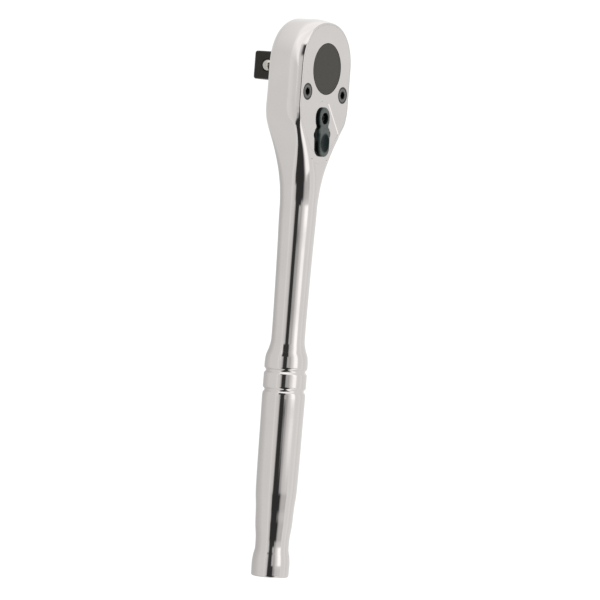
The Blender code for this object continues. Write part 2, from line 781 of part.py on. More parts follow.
def make_pawl():
    pivot = bpy.data.objects.new("pawl_pivot", None)
    PARTS.objects.link(pivot)
    pivot.location.x = LEVER_X
    pivot.rotation_euler.z = PAWL_REST
    mesh = prism_mesh("pawl", pawl_outline(), PAWL_BOTTOM, PAWL_TOP)
    mesh.transform(Matrix.Translation((-LEVER_X, 0, 0)))
    pawl = link_mesh("pawl", mesh, PARTS, "black_oxide")
    pawl.parent = pivot
    hole = []
    for i in range(48):
        angle = 2 * math.pi * i / 48
        bend = math.degrees(min(angle, 2 * math.pi - angle))
        depth = math.sin(math.radians(180) * min(bend / 26, 1)) ** 2
        hole.append(polar(PAWL_RIDGE + (PAWL_DIMPLE - PAWL_RIDGE) * depth, angle))
    cutter = prism_mesh("pawl_hole", hole, PAWL_BOTTOM - 1 * MM, PAWL_TOP + 1 * MM)
    opening = link_mesh("pawl_hole", cutter, CUTTERS)
    opening.parent = pivot
    boolean(pawl, opening)


def lever_outline():
    """The lever along +X from its pivot: round hub, narrow neck, two small ears and a thumb pad."""
    along, across = LEVER_HUB
    angles = [i * math.radians(13) for i in range(11)]
    half = [(-along * math.cos(a), across * math.sin(a)) for a in angles]
    half += [(x * MM, y * MM) for x, y in LEVER_EARS]
    half += arc(LEVER_LENGTH - LEVER_TIP, LEVER_TIP, math.radians(80), 0, 6)
    return mirrored(half)


def make_lever():
    pivot = bpy.data.objects.new("lever_pivot", None)
    PARTS.objects.link(pivot)
    pivot.location.x = LEVER_X
    pivot.rotation_euler.z = LEVER_REST
    mesh = prism_mesh("reversing_lever", lever_outline(), LEVER_BOTTOM, LEVER_PAD_TOP)
    lever = link_mesh("reversing_lever", mesh, PARTS, "lever_black")
    lever.parent = pivot
    boss_bottom = STEM_TOP + GAP
    boss_mesh = cylinder_mesh("lever_boss", LEVER_BOSS, boss_bottom, LEVER_HUB_TOP)
    boss = link_mesh("lever_boss", boss_mesh, CUTTERS)
    boss.parent = pivot
    step_start, step_end = LEVER_STEP
    side = [(-LEVER_MARGIN, LEVER_HUB_TOP), (step_start, LEVER_HUB_TOP), (step_end, LEVER_PAD_TOP)]
    side += [(step_end, THROUGH), (-LEVER_MARGIN, THROUGH)]
    hub_mesh = prism_mesh("lever_hub_cut", side, -LEVER_MARGIN, LEVER_MARGIN)
    hub_cut = link_mesh("lever_hub_cut", hub_mesh, CUTTERS)
    hub_cut.rotation_euler.x = math.pi / 2
    hub_cut.parent = pivot
    boolean(lever, hub_cut)
    for name, side_sign in (("left", -1), ("right", 1)):
        near = side_sign * LEVER_BODY
        far = side_sign * LEVER_MARGIN
        end = LEVER_LENGTH + LEVER_MARGIN
        strip = [(-LEVER_MARGIN, near), (end, near), (end, far), (-LEVER_MARGIN, far)]
        ear_mesh = prism_mesh("ear_cut", strip, LEVER_EAR_TOP, THROUGH)
        ear_cut = link_mesh(f"ear_cut_{name}", ear_mesh, CUTTERS)
        ear_cut.parent = pivot
        boolean(lever, ear_cut)
    boolean(lever, boss, "UNION")
    head_seat = boss_bottom + SCREW_SEAT
    counterbore = cylinder_mesh("lever_counterbore", LEVER_COUNTERBORE, head_seat, THROUGH, 32)
    through = cylinder_mesh("lever_through", SCREW_BORE, FLOOR_Z, THROUGH, 16)
    for name, cut in (("lever_counterbore", counterbore), ("lever_through", through)):
        cutter = link_mesh(name, cut, CUTTERS)
        cutter.parent = pivot
        boolean(lever, cutter)
    shape = bmesh.new()
    bmesh.ops.create_uvsphere(shape, u_segments=48, v_segments=24, radius=SCOOP_RADIUS)
    scoop = link_mesh("thumb_scoop", mesh_from_bmesh("thumb_scoop", shape), CUTTERS)
    scoop.location = (SCOOP_X, 0, LEVER_PAD_TOP + SCOOP_RADIUS - SCOOP_DEPTH)
    scoop.parent = pivot
    boolean(lever, scoop)
    return pivot


def make_stem(pivot):
    """Turned post with a cross bore for the plunger and a tapped hole in its top."""
    bottom = FLOOR_Z - STEM_SOCKET_DEPTH + GAP
    edge = 0.3 * MM
    profile = [
        (0, STEM_TOP),
        (STEM_RADIUS - edge, STEM_TOP),
        (STEM_RADIUS, STEM_TOP - edge),
        (STEM_RADIUS, bottom + edge),
        (STEM_RADIUS - edge, bottom),
        (0, bottom),
    ]
    stem = link_mesh("lever_stem", turned_mesh("lever_stem", profile, 24), PARTS, "bright_steel")
    stem.parent = pivot
    bore = cylinder_mesh("plunger_bore", PLUNGER_RADIUS + GAP, -PLUNGER_BORE_END, 8 * MM, 16)
    cross = link_mesh("plunger_bore", bore, CUTTERS)
    cross.rotation_euler.y = math.pi / 2
    cross.location.z = PLUNGER_Z
    cross.parent = pivot
    boolean(stem, cross)
    tapping = cylinder_mesh("stem_tapping", SCREW_BORE, SCREW_BOTTOM - 0.2 * MM, THROUGH, 16)
    tapped = link_mesh("stem_tapping", tapping, CUTTERS)
    tapped.parent = pivot
    boolean(stem, tapped)


def make_lever_screw(pivot):
    """Cheese-head screw down in the lever's counterbore."""
    seat = STEM_TOP + GAP + SCREW_SEAT + GAP
    top = seat + SCREW_HEIGHT
    head = LEVER_COUNTERBORE - GAP
    profile = [(0, top), (head, top), (head, seat), (SCREW_CORE, seat)]
    profile += [(SCREW_CORE, SCREW_BOTTOM), (0, SCREW_BOTTOM)]
    screw = link_mesh("lever_screw", turned_mesh("lever_screw", profile, 24), PARTS, "screw_black")
    screw.parent = pivot
    socket_bottom = top - SCREW_HEXAGON_DEPTH
    hexagon = cylinder_mesh("lever_screw_socket", SCREW_HEXAGON, socket_bottom, THROUGH, 6)
    socket = link_mesh("lever_screw_socket", hexagon, CUTTERS)
    socket.parent = pivot
    boolean(screw, socket)


def make_plunger(pivot):
    """Round-nosed pin that points along the lever's +X side."""
    nose = PLUNGER_RADIUS
    profile = [(0, PLUNGER_REACH)]
    for i in range(1, 6):
        angle = math.pi / 2 * i / 5
        profile.append((nose * math.sin(angle), PLUNGER_REACH - nose + nose * math.cos(angle)))
    profile += [(nose, PLUNGER_REACH - PLUNGER_LENGTH), (0, PLUNGER_REACH - PLUNGER_LENGTH)]
    plunger = link_mesh("pawl_plunger", turned_mesh("pawl_plunger", profile, 16), PARTS, "bright_steel")
    plunger.rotation_euler.y = math.pi / 2
    plunger.location.z = PLUNGER_Z
    plunger.parent = pivot


def make_springs(pivot):
    wire = 0.4 * MM
    rest = BALL_RADIUS - BALL_CENTRE + wire / 2 + GAP
    length = BALL_BORE_END - wire / 2 - GAP - rest
    make_spring("detent_spring", 2.2 * MM, wire, length, 3, (0, rest, BALL_Z), (0, 1, 0))
    start = -PLUNGER_BORE_END + wire / 2 + GAP
    length = PLUNGER_REACH - PLUNGER_LENGTH - wire / 2 - GAP - start
    make_spring("plunger_spring", 0.85 * MM, wire, length, 4, (start, 0, PLUNGER_Z), (1, 0, 0))
    bpy.data.objects["plunger_spring"].parent = pivot


clear_scene()
PARTS = new_collection("ratchet_wrench")
CUTTERS = new_collection("cutters")
MATERIALS = {name: make_finish(name) for name in FINISHES}

platform_cut = make_platform_cutter()
make_handle(platform_cut)
make_plate(platform_cut)
make_cover_screw("cover_screw_left", -1)
make_cover_screw("cover_screw_right", 1)
make_drive_gear()
make_ball()
make_ring(
    "drive_seal_ring",
    JOURNAL_RADIUS + GAP,
    DRIVE_SEAL_OUTER - GAP,
    FLOOR_Z - DRIVE_SEAL_HEIGHT + GAP,
    FLOOR_Z - GAP,
    0,
)
make_ring(
    "gear_thrust_washer",
    DRIVE_SEAL_OUTER + GAP,
    WASHER_OUTER,
    FLOOR_Z + GAP,
    FLOOR_Z + GAP + WASHER_THICKNESS,
    0,
    "bright_steel",
)
make_ring(
    "hub_seal_ring",
    HUB_RADIUS + GAP,
    HUB_SEAL_OUTER - GAP,
    HUB_SEAL_Z[0] + GAP,
    HUB_SEAL_Z[1] - GAP,
    0,
)
make_pawl()
lever_pivot = make_lever()
make_stem(lever_pivot)
make_lever_screw(lever_pivot)
make_plunger(lever_pivot)
make_springs(lever_pivot)
make_ring(
    "lever_seal_ring",
    LEVER_BOSS + GAP,
    LEVER_SEAL_OUTER - GAP,
    LEVER_SEAL_Z[0] + GAP,
    LEVER_SEAL_Z[1] - GAP,
    LEVER_X,
)
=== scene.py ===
"""Looks of the half-inch drive ratchet wrench: fine chrome handle, cover, lever, drive and screws.

Everything is in metres in the CAD frame: +X along the handle, +Z out of the cover's face,
origin on the drive axis at the end of the drive square.
"""

import json
import math

import bmesh
import bpy
import numpy as np
from mathutils import Matrix, Vector


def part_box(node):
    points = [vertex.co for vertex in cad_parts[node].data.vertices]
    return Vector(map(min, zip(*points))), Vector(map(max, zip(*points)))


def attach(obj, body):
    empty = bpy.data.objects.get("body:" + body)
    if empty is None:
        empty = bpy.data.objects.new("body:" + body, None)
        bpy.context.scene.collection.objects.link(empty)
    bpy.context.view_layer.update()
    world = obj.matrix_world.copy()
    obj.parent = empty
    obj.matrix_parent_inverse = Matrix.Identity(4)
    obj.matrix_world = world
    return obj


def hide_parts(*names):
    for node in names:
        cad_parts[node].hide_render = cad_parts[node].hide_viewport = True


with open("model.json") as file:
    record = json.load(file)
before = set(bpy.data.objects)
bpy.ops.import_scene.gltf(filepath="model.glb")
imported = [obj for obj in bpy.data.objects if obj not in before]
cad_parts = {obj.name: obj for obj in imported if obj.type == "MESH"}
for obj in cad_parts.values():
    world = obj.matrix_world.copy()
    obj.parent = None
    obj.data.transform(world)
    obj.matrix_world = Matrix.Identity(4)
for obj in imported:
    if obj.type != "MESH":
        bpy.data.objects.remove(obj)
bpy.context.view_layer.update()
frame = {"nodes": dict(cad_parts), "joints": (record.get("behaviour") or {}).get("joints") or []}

MM = 0.001

# ---------------------------------------------------------------- places read from the frame

BODY_LOW, BODY_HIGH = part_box("handle_body")
PLATE_LOW, PLATE_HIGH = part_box("cover_plate")
GEAR_LOW, GEAR_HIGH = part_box("drive_gear")
BALL_LOW, BALL_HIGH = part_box("detent_ball")
SCREW_BOXES = {side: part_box(f"cover_screw_{side}") for side in ("left", "right")}
LEVER_JOINT = next(joint for joint in frame["joints"] if joint["name"] == "lever_turn")
SLIDE_JOINT = next(joint for joint in frame["joints"] if joint["name"] == "plunger_slide")

FRONT_Z = PLATE_HIGH.z
PLATE_Z = PLATE_LOW.z
HEAD_END = -BODY_LOW.x
HANDLE_END = BODY_HIGH.x
HEAD_HALF = 9.5 * MM
AXIS_Z = FRONT_Z - HEAD_HALF
BACK_Z = FRONT_Z - 2 * HEAD_HALF
LEVER_X = LEVER_JOINT["pos_m"][0]
LEVER_REST = math.atan2(-SLIDE_JOINT["axis"][1], -SLIDE_JOINT["axis"][0])

# ---------------------------------------------------------------- dimensions of the fine shapes

# Distance from the drive axis, half width, half thickness, roundness of the front and back corners
# (1 is a full round), how far the side wall leans in towards the face, in mm, and how far up the
# side wall the lean starts
NECK = (
    (0, 21.6, 9.5, 0.05, 0.48, 1.3, 0.58),
    (12, 21.6, 9.5, 0.05, 0.48, 1.3, 0.58),
    (17, 21.6, 9.5, 0.05, 0.46, 1.3, 0.58),
    (20, 21.3, 9.5, 0.05, 0.42, 1.3, 0.58),
    (22, 20.85, 9.5, 0.06, 0.41, 1.25, 0.6),
    (24, 20.25, 9.5, 0.105, 0.4, 0.95, 0.72),
    (26, 19.36, 9.5, 0.26, 0.41, 0.25, 0.93),
    (28, 18.3, 9.5, 0.357, 0.43, 0.08, 0.93),
    (32, 16.1, 9.5, 0.474, 0.52, 0, 0.93),
    (36, 14.2, 9.48, 0.595, 0.64, 0, 0.93),
    (41.5, 12.2, 9.42, 0.758, 0.8, 0, 0.93),
    (48, 10.4, 9.2, 0.925, 0.94, 0, 0.93),
    (55, 9.1, 8.85, 0.98, 1, 0, 0.93),
    (63, 8.5, 8.5, 1, 1, 0, 0.93),
)
# Distance from the drive axis and radius of the round shank and grip, in mm
GRIP = (
    (63, 8.5),
    (82.7, 8.08),
    (104.4, 7.74),
    (118, 7.6),
    (122.6, 7.63),
    (126.3, 8.3),
    (130, 9.5),
    (133.5, 9.77),
    (147.9, 9.77),
    (158.7, 9.66),
    (180.4, 9.48),
    (191.2, 9.27),
    (198.4, 8.67),
    (205.6, 8.35),
    (212.8, 7.64),
    (216.4, 7.59),
    (220, 8.27),
    (223.7, 8.58),
    (229.3, 8.5),
)
NECK_END = NECK[-1][0] * MM
GROOVES = (136.5 * MM, 145.3 * MM)
GROOVE_WIDTH = 3.0 * MM
GROOVE_DEPTH = 0.85 * MM
END_ROUND = 0.8 * MM
# The share of the wall's lean that is straight, the rest being curved
STRAIGHT_LEAN = 0.3
# The head's round end: how square it is (2 is a circle), its length over its half width, and its steps
END_POWER = 2.2
END_STRETCH = HEAD_END / (NECK[0][1] * MM)
TURN_STEPS = 64

# How far a corner's handles reach (a quarter circle's share), and the points on each stretch of a
# section: back face, back corner, wall, leaning wall, front corner, front face
CORNER_REACH = 0.5523
STRETCH_STEPS = (3, 10, 4, 9, 16, 3)
# Above this roundness the points begin to spread evenly, until they do so wholly
EVEN_FROM = 0.3
EVEN_OVER = 0.6

# Sections along the handle: where each spacing ends, and the spacing
STATION_STEPS = (
    (NECK_END, 1.0 * MM),
    (121 * MM, 2.9 * MM),
    (134.6 * MM, 0.7 * MM),
    (146.3 * MM, 0.3 * MM),
    (HANDLE_END - END_ROUND, 1.2 * MM),
)

# How far cutters reach past a face, and the finest rounding of an edge
CLEAR = 5 * MM
FINE_EDGE = 0.05 * MM

# Pockets in the head
FLOOR_THICKNESS = 3.5 * MM
DRIVE_BORE = 9.55 * MM
GEAR_POCKET = 15.0 * MM
STEM_POCKET = 7.1 * MM
RECESS_GAP = 0.1 * MM

# Cover plate, with the lowered platform that the lever sweeps over
HUB_HOLE = 11.6 * MM
LEVER_HOLE = 4.55 * MM
SEAM = 0.03 * MM
PLATE_INSET = 0.5 * MM
NOSE_START = 30 * MM
NOSE_END = PLATE_HIGH.x
PLATFORM_Z = FRONT_Z - 0.35 * MM
PLATFORM_ARC = 7.5 * MM
PLATFORM_ARC_SPAN = math.radians(30.5)
PLATFORM_SIDE_ANGLE = math.radians(37.6)
PLATFORM_REACH = 18.5 * MM
PLATFORM_END = 42.5 * MM
PLATFORM_ROUND = (2 * MM, 6 * MM)
PLATFORM_SLOPE = 1.5

# Cover screws
SCREW_GAP = 0.08 * MM
SCREW_SINK = 0.55 * MM
SCREW_HOLE = 2.1 * MM
SCREW_RIM = 0.45 * MM
SCREW_SHANK = 1.95 * MM
SCREW_SOCKET = 1.75 * MM
SCREW_SOCKET_DEPTH = 2 * MM
SCREW_EDGE = 0.16 * MM

# Drive gear, its hub disc and the square
GEAR_TEETH = 36
GEAR_TIP = 14.5 * MM
GEAR_ROOT = 13.5 * MM
GEAR_TURN = math.radians(5)
TOOTH_LAND = 0.25 * MM
TOOTH_FLANK = 0.8
GEAR_LIFT = 4.5 * MM
GEAR_TOP = PLATE_Z - 0.4 * MM
JOURNAL_RADIUS = 9.4 * MM
HUB_RADIUS = 11.45 * MM
HUB_NECK = 9.5 * MM
HUB_EDGE = 0.3 * MM
HUB_THICKNESS = 1.9 * MM
# Fine groove turned round the disc's face: distances in from its edge, and depth
HUB_GROOVE = (1.6 * MM, 1.45 * MM, 1.3 * MM)
HUB_GROOVE_DEPTH = 0.06 * MM
SQUARE_HALF = 6.35 * MM
SQUARE_EDGE = 1.1 * MM
DRIVE_EDGE = 0.18 * MM

# Detent ball: its bore in the square, and the ring that sockets wear on it (degrees from its pole)
BALL_LIP = 6.1 * MM
BALL_BORE_END = -2.6 * MM
BALL_BORE_GAP = 0.15 * MM
BALL_LIP_REACH = 0.25 * MM
BALL_WEAR = 0.02 * MM
BALL_WEAR_ANGLE = 24
BALL_WEAR_SPREAD = 3

# Reversing lever: heights above the cover's face and distances from its pivot, in mm
LEVER_BOTTOM = PLATFORM_Z + 0.15 * MM
LEVER_LENGTH = 17.2
LEVER_HUB = (5.0, 4.3)
LEVER_HUB_SPAN = math.radians(130)
LEVER_EDGE = (
    (3.9, 3.25),
    (4.6, 3.8),
    (5.3, 5.3),
    (6.6, 6.5),
    (8.2, 6.4),
    (9.6, 5.1),
    (10.8, 4.2),
    (12.0, 4.05),
)
HUB_TOP = 1.0
PAD_TOP = 1.35
EAR_TOP = 0.2
LEVER_RISE = (4.2, 7.2)
PAD_CENTRE = 11.0
PAD_HALF = (3.9, 3.3)
PAD_DEPTH = 0.95
# How far the painted shade round the thumb pad reaches, as a share of the pad's half lengths
PAD_SHADOW = 1.35
BODY_HALF = 4.0
TIP_RADIUS = 4.0
TOP_ROUNDING = 0.45
# Rows of the rounded top edge: share of the outline and share of the rounding that it drops
TOP_EDGE_ROWS = ((1, 1.0), (0.985, 0.55), (0.955, 0.25), (0.91, 0.07), (0.86, 0.0))
TOP_ROWS = 19
BOSS_RADIUS = 4.4 * MM
COUNTERBORE = 2.65 * MM
LEVER_SOFT_EDGE = 0.14 * MM
LEVER_SCREW_SEAT = PLATE_Z + 1.0 * MM
LEVER_SCREW_SHANK = 1.25 * MM
LEVER_SCREW_SOCKET = 1.25 * MM
LEVER_SCREW_DEPTH = 0.9 * MM


# ---------------------------------------------------------------- mesh helpers


def object_from_bmesh(name, shape):
    mesh = bpy.data.meshes.new(name)
    shape.to_mesh(mesh)
    shape.free()
    body = bpy.data.objects.new(name, mesh)
    bpy.context.scene.collection.objects.link(body)
    return body


def apply_modifiers(body):
    """Keeps the mesh that the modifiers give."""
    depsgraph = bpy.context.evaluated_depsgraph_get()
    depsgraph.update()
    mesh = bpy.data.meshes.new_from_object(body.evaluated_get(depsgraph))
    body.modifiers.clear()
    body.data = mesh
    return body


def turned(name, profile, segments=96):
    """A solid turned about Z, from (radius, height) pairs that start and end on the axis."""
    shape = bmesh.new()
    rings = []
    for radius, height in profile:
        if radius < 1e-7:
            rings.append([shape.verts.new((0, 0, height))])
            continue
        angles = [2 * math.pi * i / segments for i in range(segments)]
        circle = [(radius * math.cos(angle), radius * math.sin(angle), height) for angle in angles]
        rings.append([shape.verts.new(point) for point in circle])
    closed = list(zip(rings, rings[1:]))
    if len(rings[0]) > 1:
        closed.append((rings[-1], rings[0]))
    for above, below in closed:
        for i in range(segments):
            j = (i + 1) % segments
            upper = (above[i % len(above)], above[j % len(above)])
            lower = (below[j % len(below)], below[i % len(below)])
            shape.faces.new(list(dict.fromkeys(upper + lower)))
    bmesh.ops.recalc_face_normals(shape, faces=shape.faces)
    return object_from_bmesh(name, shape)


def prism(name, outline, bottom, top):
    """A flat outline extruded between two heights."""
    shape = bmesh.new()
    base = shape.faces.new([shape.verts.new((x, y, bottom)) for x, y in outline])
    raised = bmesh.ops.extrude_face_region(shape, geom=[base])["geom"]
    moved = [item for item in raised if isinstance(item, bmesh.types.BMVert)]
    bmesh.ops.translate(shape, verts=moved, vec=(0, 0, top - bottom))
    bmesh.ops.recalc_face_normals(shape, faces=shape.faces)
    return object_from_bmesh(name, shape)


def combine(body, other, operation="DIFFERENCE"):
    """Cuts or joins with another mesh, which is used up."""
    modifier = body.modifiers.new("Combine", "BOOLEAN")
    modifier.operation = operation
    modifier.solver = "EXACT"
    modifier.object = other
    apply_modifiers(body)
    bpy.data.objects.remove(other)


def cut_cylinder(body, radius, bottom, top, x=0.0, y=0.0, segments=96):
    cutter = turned("cutter", [(0, top), (radius, top), (radius, bottom), (0, bottom)], segments)
    cutter.location = (x, y, 0)
    combine(body, cutter)


def soften(body, width, segments=3, angle=30):
    """Rounds the edges sharper than the angle and leaves the flat faces as they are."""
    modifier = body.modifiers.new("Edges", "BEVEL")
    modifier.width = width
    modifier.segments = segments
    modifier.limit_method = "ANGLE"
    modifier.angle_limit = math.radians(angle)
    modifier.harden_normals = False
    modifier.use_clamp_overlap = True
    apply_modifiers(body)


def shade(body, angle=40):
    body.data.shade_smooth()
    body.data.set_sharp_from_angle(angle=math.radians(angle))
    weights = body.modifiers.new("Weighted normals", "WEIGHTED_NORMAL")
    weights.mode = "FACE_AREA_WITH_ANGLE"
    weights.weight = 60
    weights.keep_sharp = True
    apply_modifiers(body)


def finish_piece(body, rides_on, slot, material, *nodes):
    body.data.materials.clear()
    body.data.materials.append(material)
    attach(body, rides_on)
    if nodes:
        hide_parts(*nodes)


def mirrored(half):
    """A closed outline from its +Y half, which runs from -X to +X."""
    half = [(x, y if y > 1e-6 else 0.0) for x, y in half]
    return half + [(x, -y) for x, y in reversed(half) if y > 0]


def arc(centre_x, radius, start, end, steps):
    angles = [start + (end - start) * i / steps for i in range(steps + 1)]
    return [(centre_x + radius * math.cos(a), radius * math.sin(a)) for a in angles]


def smooth_step(low, high, value):
    t = min(max((value - low) / (high - low), 0), 1)
    return t * t * (3 - 2 * t)


# ---------------------------------------------------------------- handle sections


def smooth_value(table, column, x):
    """Reads a table between its rows with a monotone curve, so it never overshoots."""
    xs = [row[0] for row in table]
    ys = [row[column] for row in table]
    slopes = [(ys[i + 1] - ys[i]) / (xs[i + 1] - xs[i]) for i in range(len(xs) - 1)]

    def tangent(i):
        if i == 0 or i == len(xs) - 1:
            return 0.0
        before = slopes[i - 1]
        after = slopes[i]
        if before * after <= 0:
            return 0.0
        return 2 * before * after / (before + after)

    x = min(max(x, xs[0]), xs[-1])
    i = max(k for k in range(len(xs) - 1) if xs[k] <= x)
    width = xs[i + 1] - xs[i]
    t = (x - xs[i]) / width
    return (
        (1 + 2 * t) * (1 - t) ** 2 * ys[i]
        + t * (1 - t) ** 2 * width * tangent(i)
        + t * t * (3 - 2 * t) * ys[i + 1]
        + t * t * (t - 1) * width * tangent(i + 1)
    )


def grip_radius(x):
    radius = smooth_value(GRIP, 1, x / MM) * MM
    for groove in GROOVES:
        offset = abs(x - groove) / (GROOVE_WIDTH / 2)
        if offset < 1:
            radius -= GROOVE_DEPTH * (0.5 + 0.5 * math.cos(math.pi * offset))
    past = (x - (HANDLE_END - END_ROUND)) / END_ROUND
    if past > 0:
        radius -= END_ROUND * (1 - math.sqrt(max(1 - past * past, 0)))
    return radius


def section_shape(x):
    """The values of one row of the neck table, at any distance along the handle."""
    if x > NECK_END:
        radius = grip_radius(x)
        return radius, radius, 1.0, 1.0, 0.0, 1.0
    row = [smooth_value(NECK, column, x / MM) for column in range(1, 7)]
    width, thickness, front, back, lean, crease = row
    return width * MM, thickness * MM, front, back, lean * MM, crease


def face_half_width(x):
    """Half width of the flat face, between its rounded edges."""
    width, thickness, front, _, lean, _ = section_shape(x)
    return width - lean - front * min(width, thickness)


def corner(start, start_step, end, end_step):
    """A curved corner between two points, with the handle of each end as a step from it."""
    t = np.linspace(0, 1, 48)[:, None]
    first = start + CORNER_REACH * start_step
    second = end + CORNER_REACH * end_step
    return (1 - t) ** 3 * start + 3 * (1 - t) ** 2 * t * first + 3 * (1 - t) * t * t * second + t**3 * end


def half_section(x):
    """Points from the middle of the back face, round the +Y side, to the middle of the front face."""
    width, thickness, front, back, lean, crease_share = section_shape(x)
    front_radius = front * min(width, thickness)
    back_radius = back * min(width, thickness)
    bottom = np.array((width, back_radius - thickness))
    top = np.array((width - lean, thickness - front_radius))
    crease = np.array((width, bottom[1] + crease_share * (top[1] - bottom[1])))
    rise = max(top[1] - crease[1], 0.01 * MM)
    slope = np.array((-lean * (2 - STRAIGHT_LEAN) / rise, 1))
    back_edge = np.array((width - back_radius, -thickness))
    face_edge = np.array((top[0] - front_radius, thickness))
    share = np.linspace(0, 1, 24)
    inward = STRAIGHT_LEAN * share + (1 - STRAIGHT_LEAN) * share**2
    stretches = (
        np.array(((0, -thickness), back_edge)),
        corner(back_edge, np.array((back_radius, 0)), bottom, np.array((0, -back_radius))),
        np.array((bottom, crease)),
        np.stack([width - lean * inward, crease[1] + (top[1] - crease[1]) * share], axis=1),
        corner(top, front_radius * slope / math.hypot(*slope), face_edge, np.array((front_radius, 0))),
        np.array((face_edge, (0, thickness))),
    )
    path = np.concatenate(stretches)
    lengths = np.concatenate([[0], np.cumsum(np.hypot(*np.diff(path, axis=0).T))])
    ends = [0.0] + [lengths[n - 1] for n in np.cumsum([len(stretch) for stretch in stretches])]
    stops = [np.linspace(ends[i], ends[i + 1], n, endpoint=False) for i, n in enumerate(STRETCH_STEPS)]
    stops = np.concatenate(stops + [[lengths[-1]]])
    even = min(max((front - EVEN_FROM) / EVEN_OVER, 0), 1)
    stops = (1 - even) * stops + even * np.linspace(0, lengths[-1], len(stops))
    points = np.stack([np.interp(stops, lengths, path[:, axis]) for axis in (0, 1)], axis=1)
    points[0, 0] = 0
    points[-1, 0] = 0
    return points


def head_end_point(reach, angle):
    """X and Y on the head's end, turning from +Y towards -X: a little squarer than a circle."""
    cosine = math.cos(angle)
    sine = math.sin(angle)
    reach /= (abs(cosine) ** END_POWER + abs(sine) ** END_POWER) ** (1 / END_POWER)
    return -reach * sine * END_STRETCH, reach * cosine


def stations():
    """Where the sections stand: closer where the shape turns quickly, and round the butt's edge."""
    places = []
    start = 0
    for end, step in STATION_STEPS:
        places += list(np.arange(start, end, step))
        start = end
    places += [HANDLE_END - END_ROUND * (1 - math.sin(math.pi / 2 * i / 8)) for i in range(9)]
    return places


def handle_surface():
    """The head's round end is its section turned half a turn, and the rest is a loft along X."""
    shape = bmesh.new()
    half = half_section(0)
    bottom = shape.verts.new((0, 0, AXIS_Z + half[0][1]))
    top = shape.verts.new((0, 0, AXIS_Z + half[-1][1]))
    columns = []
    for j in range(TURN_STEPS + 1):
        angle = math.pi * j / TURN_STEPS
        middle = [shape.verts.new((*head_end_point(y, angle), AXIS_Z + z)) for y, z in half[1:-1]]
        columns.append([bottom, *middle, top])
    for near, far in zip(columns, columns[1:]):
        for k in range(len(near) - 1):
            corners = dict.fromkeys((near[k], near[k + 1], far[k + 1], far[k]))
            shape.faces.new(list(corners))
    ring = columns[0] + columns[-1][-2:0:-1]
    for x in stations()[1:]:
        side = half_section(x)
        outline = [tuple(point) for point in side] + [(-y, z) for y, z in side[-2:0:-1]]
        following = [shape.verts.new((x, y, AXIS_Z + z)) for y, z in outline]
        for k in range(len(ring)):
            n = (k + 1) % len(ring)
            shape.faces.new((ring[k], ring[n], following[n], following[k]))
        ring = following
    shape.faces.new(ring)
    bmesh.ops.recalc_face_normals(shape, faces=shape.faces)
    return object_from_bmesh("handle_shell", shape)


# ---------------------------------------------------------------- outlines


def plate_outline(inset):
    """The cover plate: round at the drive axis, then down the flat face to a round nose."""
    radius = face_half_width(0) - inset
    half = [head_end_point(radius, math.pi / 2 * (1 - i / 48)) for i in range(49)]
    nose_width = face_half_width(NOSE_START) - inset
    end = NOSE_END + PLATE_INSET - inset
    half += [(x, face_half_width(x) - inset) for x in np.arange(1 * MM, NOSE_START, 1 * MM)]
    for i in range(17):
        angle = math.pi / 2 * (1 - i / 16)
        x = NOSE_START + (end - NOSE_START) * math.cos(angle)
        half.append((x, min(nose_width * math.sin(angle), face_half_width(x) - inset)))
    half[-1] = (end, 0.0)
    return mirrored(half)


def platform_outline(grow):
    """The lowered part of the face that the lever sweeps over, open past both sides of the neck."""
    half = arc(LEVER_X, PLATFORM_ARC + grow, math.pi, math.pi - PLATFORM_ARC_SPAN, 16)
    x, y = half[-1]
    half.append((x + (PLATFORM_REACH - y) / math.tan(PLATFORM_SIDE_ANGLE), PLATFORM_REACH))
    along, across = PLATFORM_ROUND
    round_start = PLATFORM_END + grow - along
    half.append((round_start, PLATFORM_REACH))
    half.append((round_start, across))
    for i in range(1, 9):
        angle = math.pi / 2 * (1 - i / 8)
        half.append((round_start + along * math.cos(angle), across * math.sin(angle)))
    return mirrored(half)


def platform_cutter():
    """A block with sloping sides, so the platform's edge is a chamfer."""
    shape = bmesh.new()
    depth = PLATFORM_SLOPE * (FRONT_Z - PLATFORM_Z)
    rings = []
    for grow, height in ((0.0, PLATFORM_Z), (depth, PLATFORM_Z + depth), (depth, FRONT_Z + CLEAR)):
        rings.append([shape.verts.new((x, y, height)) for x, y in platform_outline(grow)])
    for low, high in zip(rings, rings[1:]):
        for k in range(len(low)):
            n = (k + 1) % len(low)
            shape.faces.new((low[k], low[n], high[n], high[k]))
    shape.faces.new(rings[0])
    shape.faces.new(rings[-1])
    bmesh.ops.recalc_face_normals(shape, faces=shape.faces)
    return object_from_bmesh("platform", shape)


# ---------------------------------------------------------------- materials


def new_material(name):
    """A node material with its nodes, links and main shader."""
    material = bpy.data.materials.new(name)
    material.use_nodes = True
    nodes = material.node_tree.nodes
    return material, nodes, material.node_tree.links, nodes["Principled BSDF"]


def noise(nodes, links, scale, detail=4, rough=0.5, stretch=None):
    """Object-space noise, so it stays on the piece."""
    place = nodes.new("ShaderNodeTexCoord")
    texture = nodes.new("ShaderNodeTexNoise")
    texture.inputs["Scale"].default_value = scale
    texture.inputs["Detail"].default_value = detail
    texture.inputs["Roughness"].default_value = rough
    if stretch:
        mapping = nodes.new("ShaderNodeMapping")
        mapping.inputs["Scale"].default_value = stretch
        links.new(place.outputs["Object"], mapping.inputs["Vector"])
        links.new(mapping.outputs["Vector"], texture.inputs["Vector"])
    else:
        links.new(place.outputs["Object"], texture.inputs["Vector"])
    return texture.outputs["Fac"]


def to_range(nodes, links, value, low, high, from_low=0.3, from_high=0.7):
    node = nodes.new("ShaderNodeMapRange")
    node.inputs["From Min"].default_value = from_low
    node.inputs["From Max"].default_value = from_high
    node.inputs["To Min"].default_value = low
    node.inputs["To Max"].default_value = high
    links.new(value, node.inputs["Value"])
    return node.outputs["Result"]


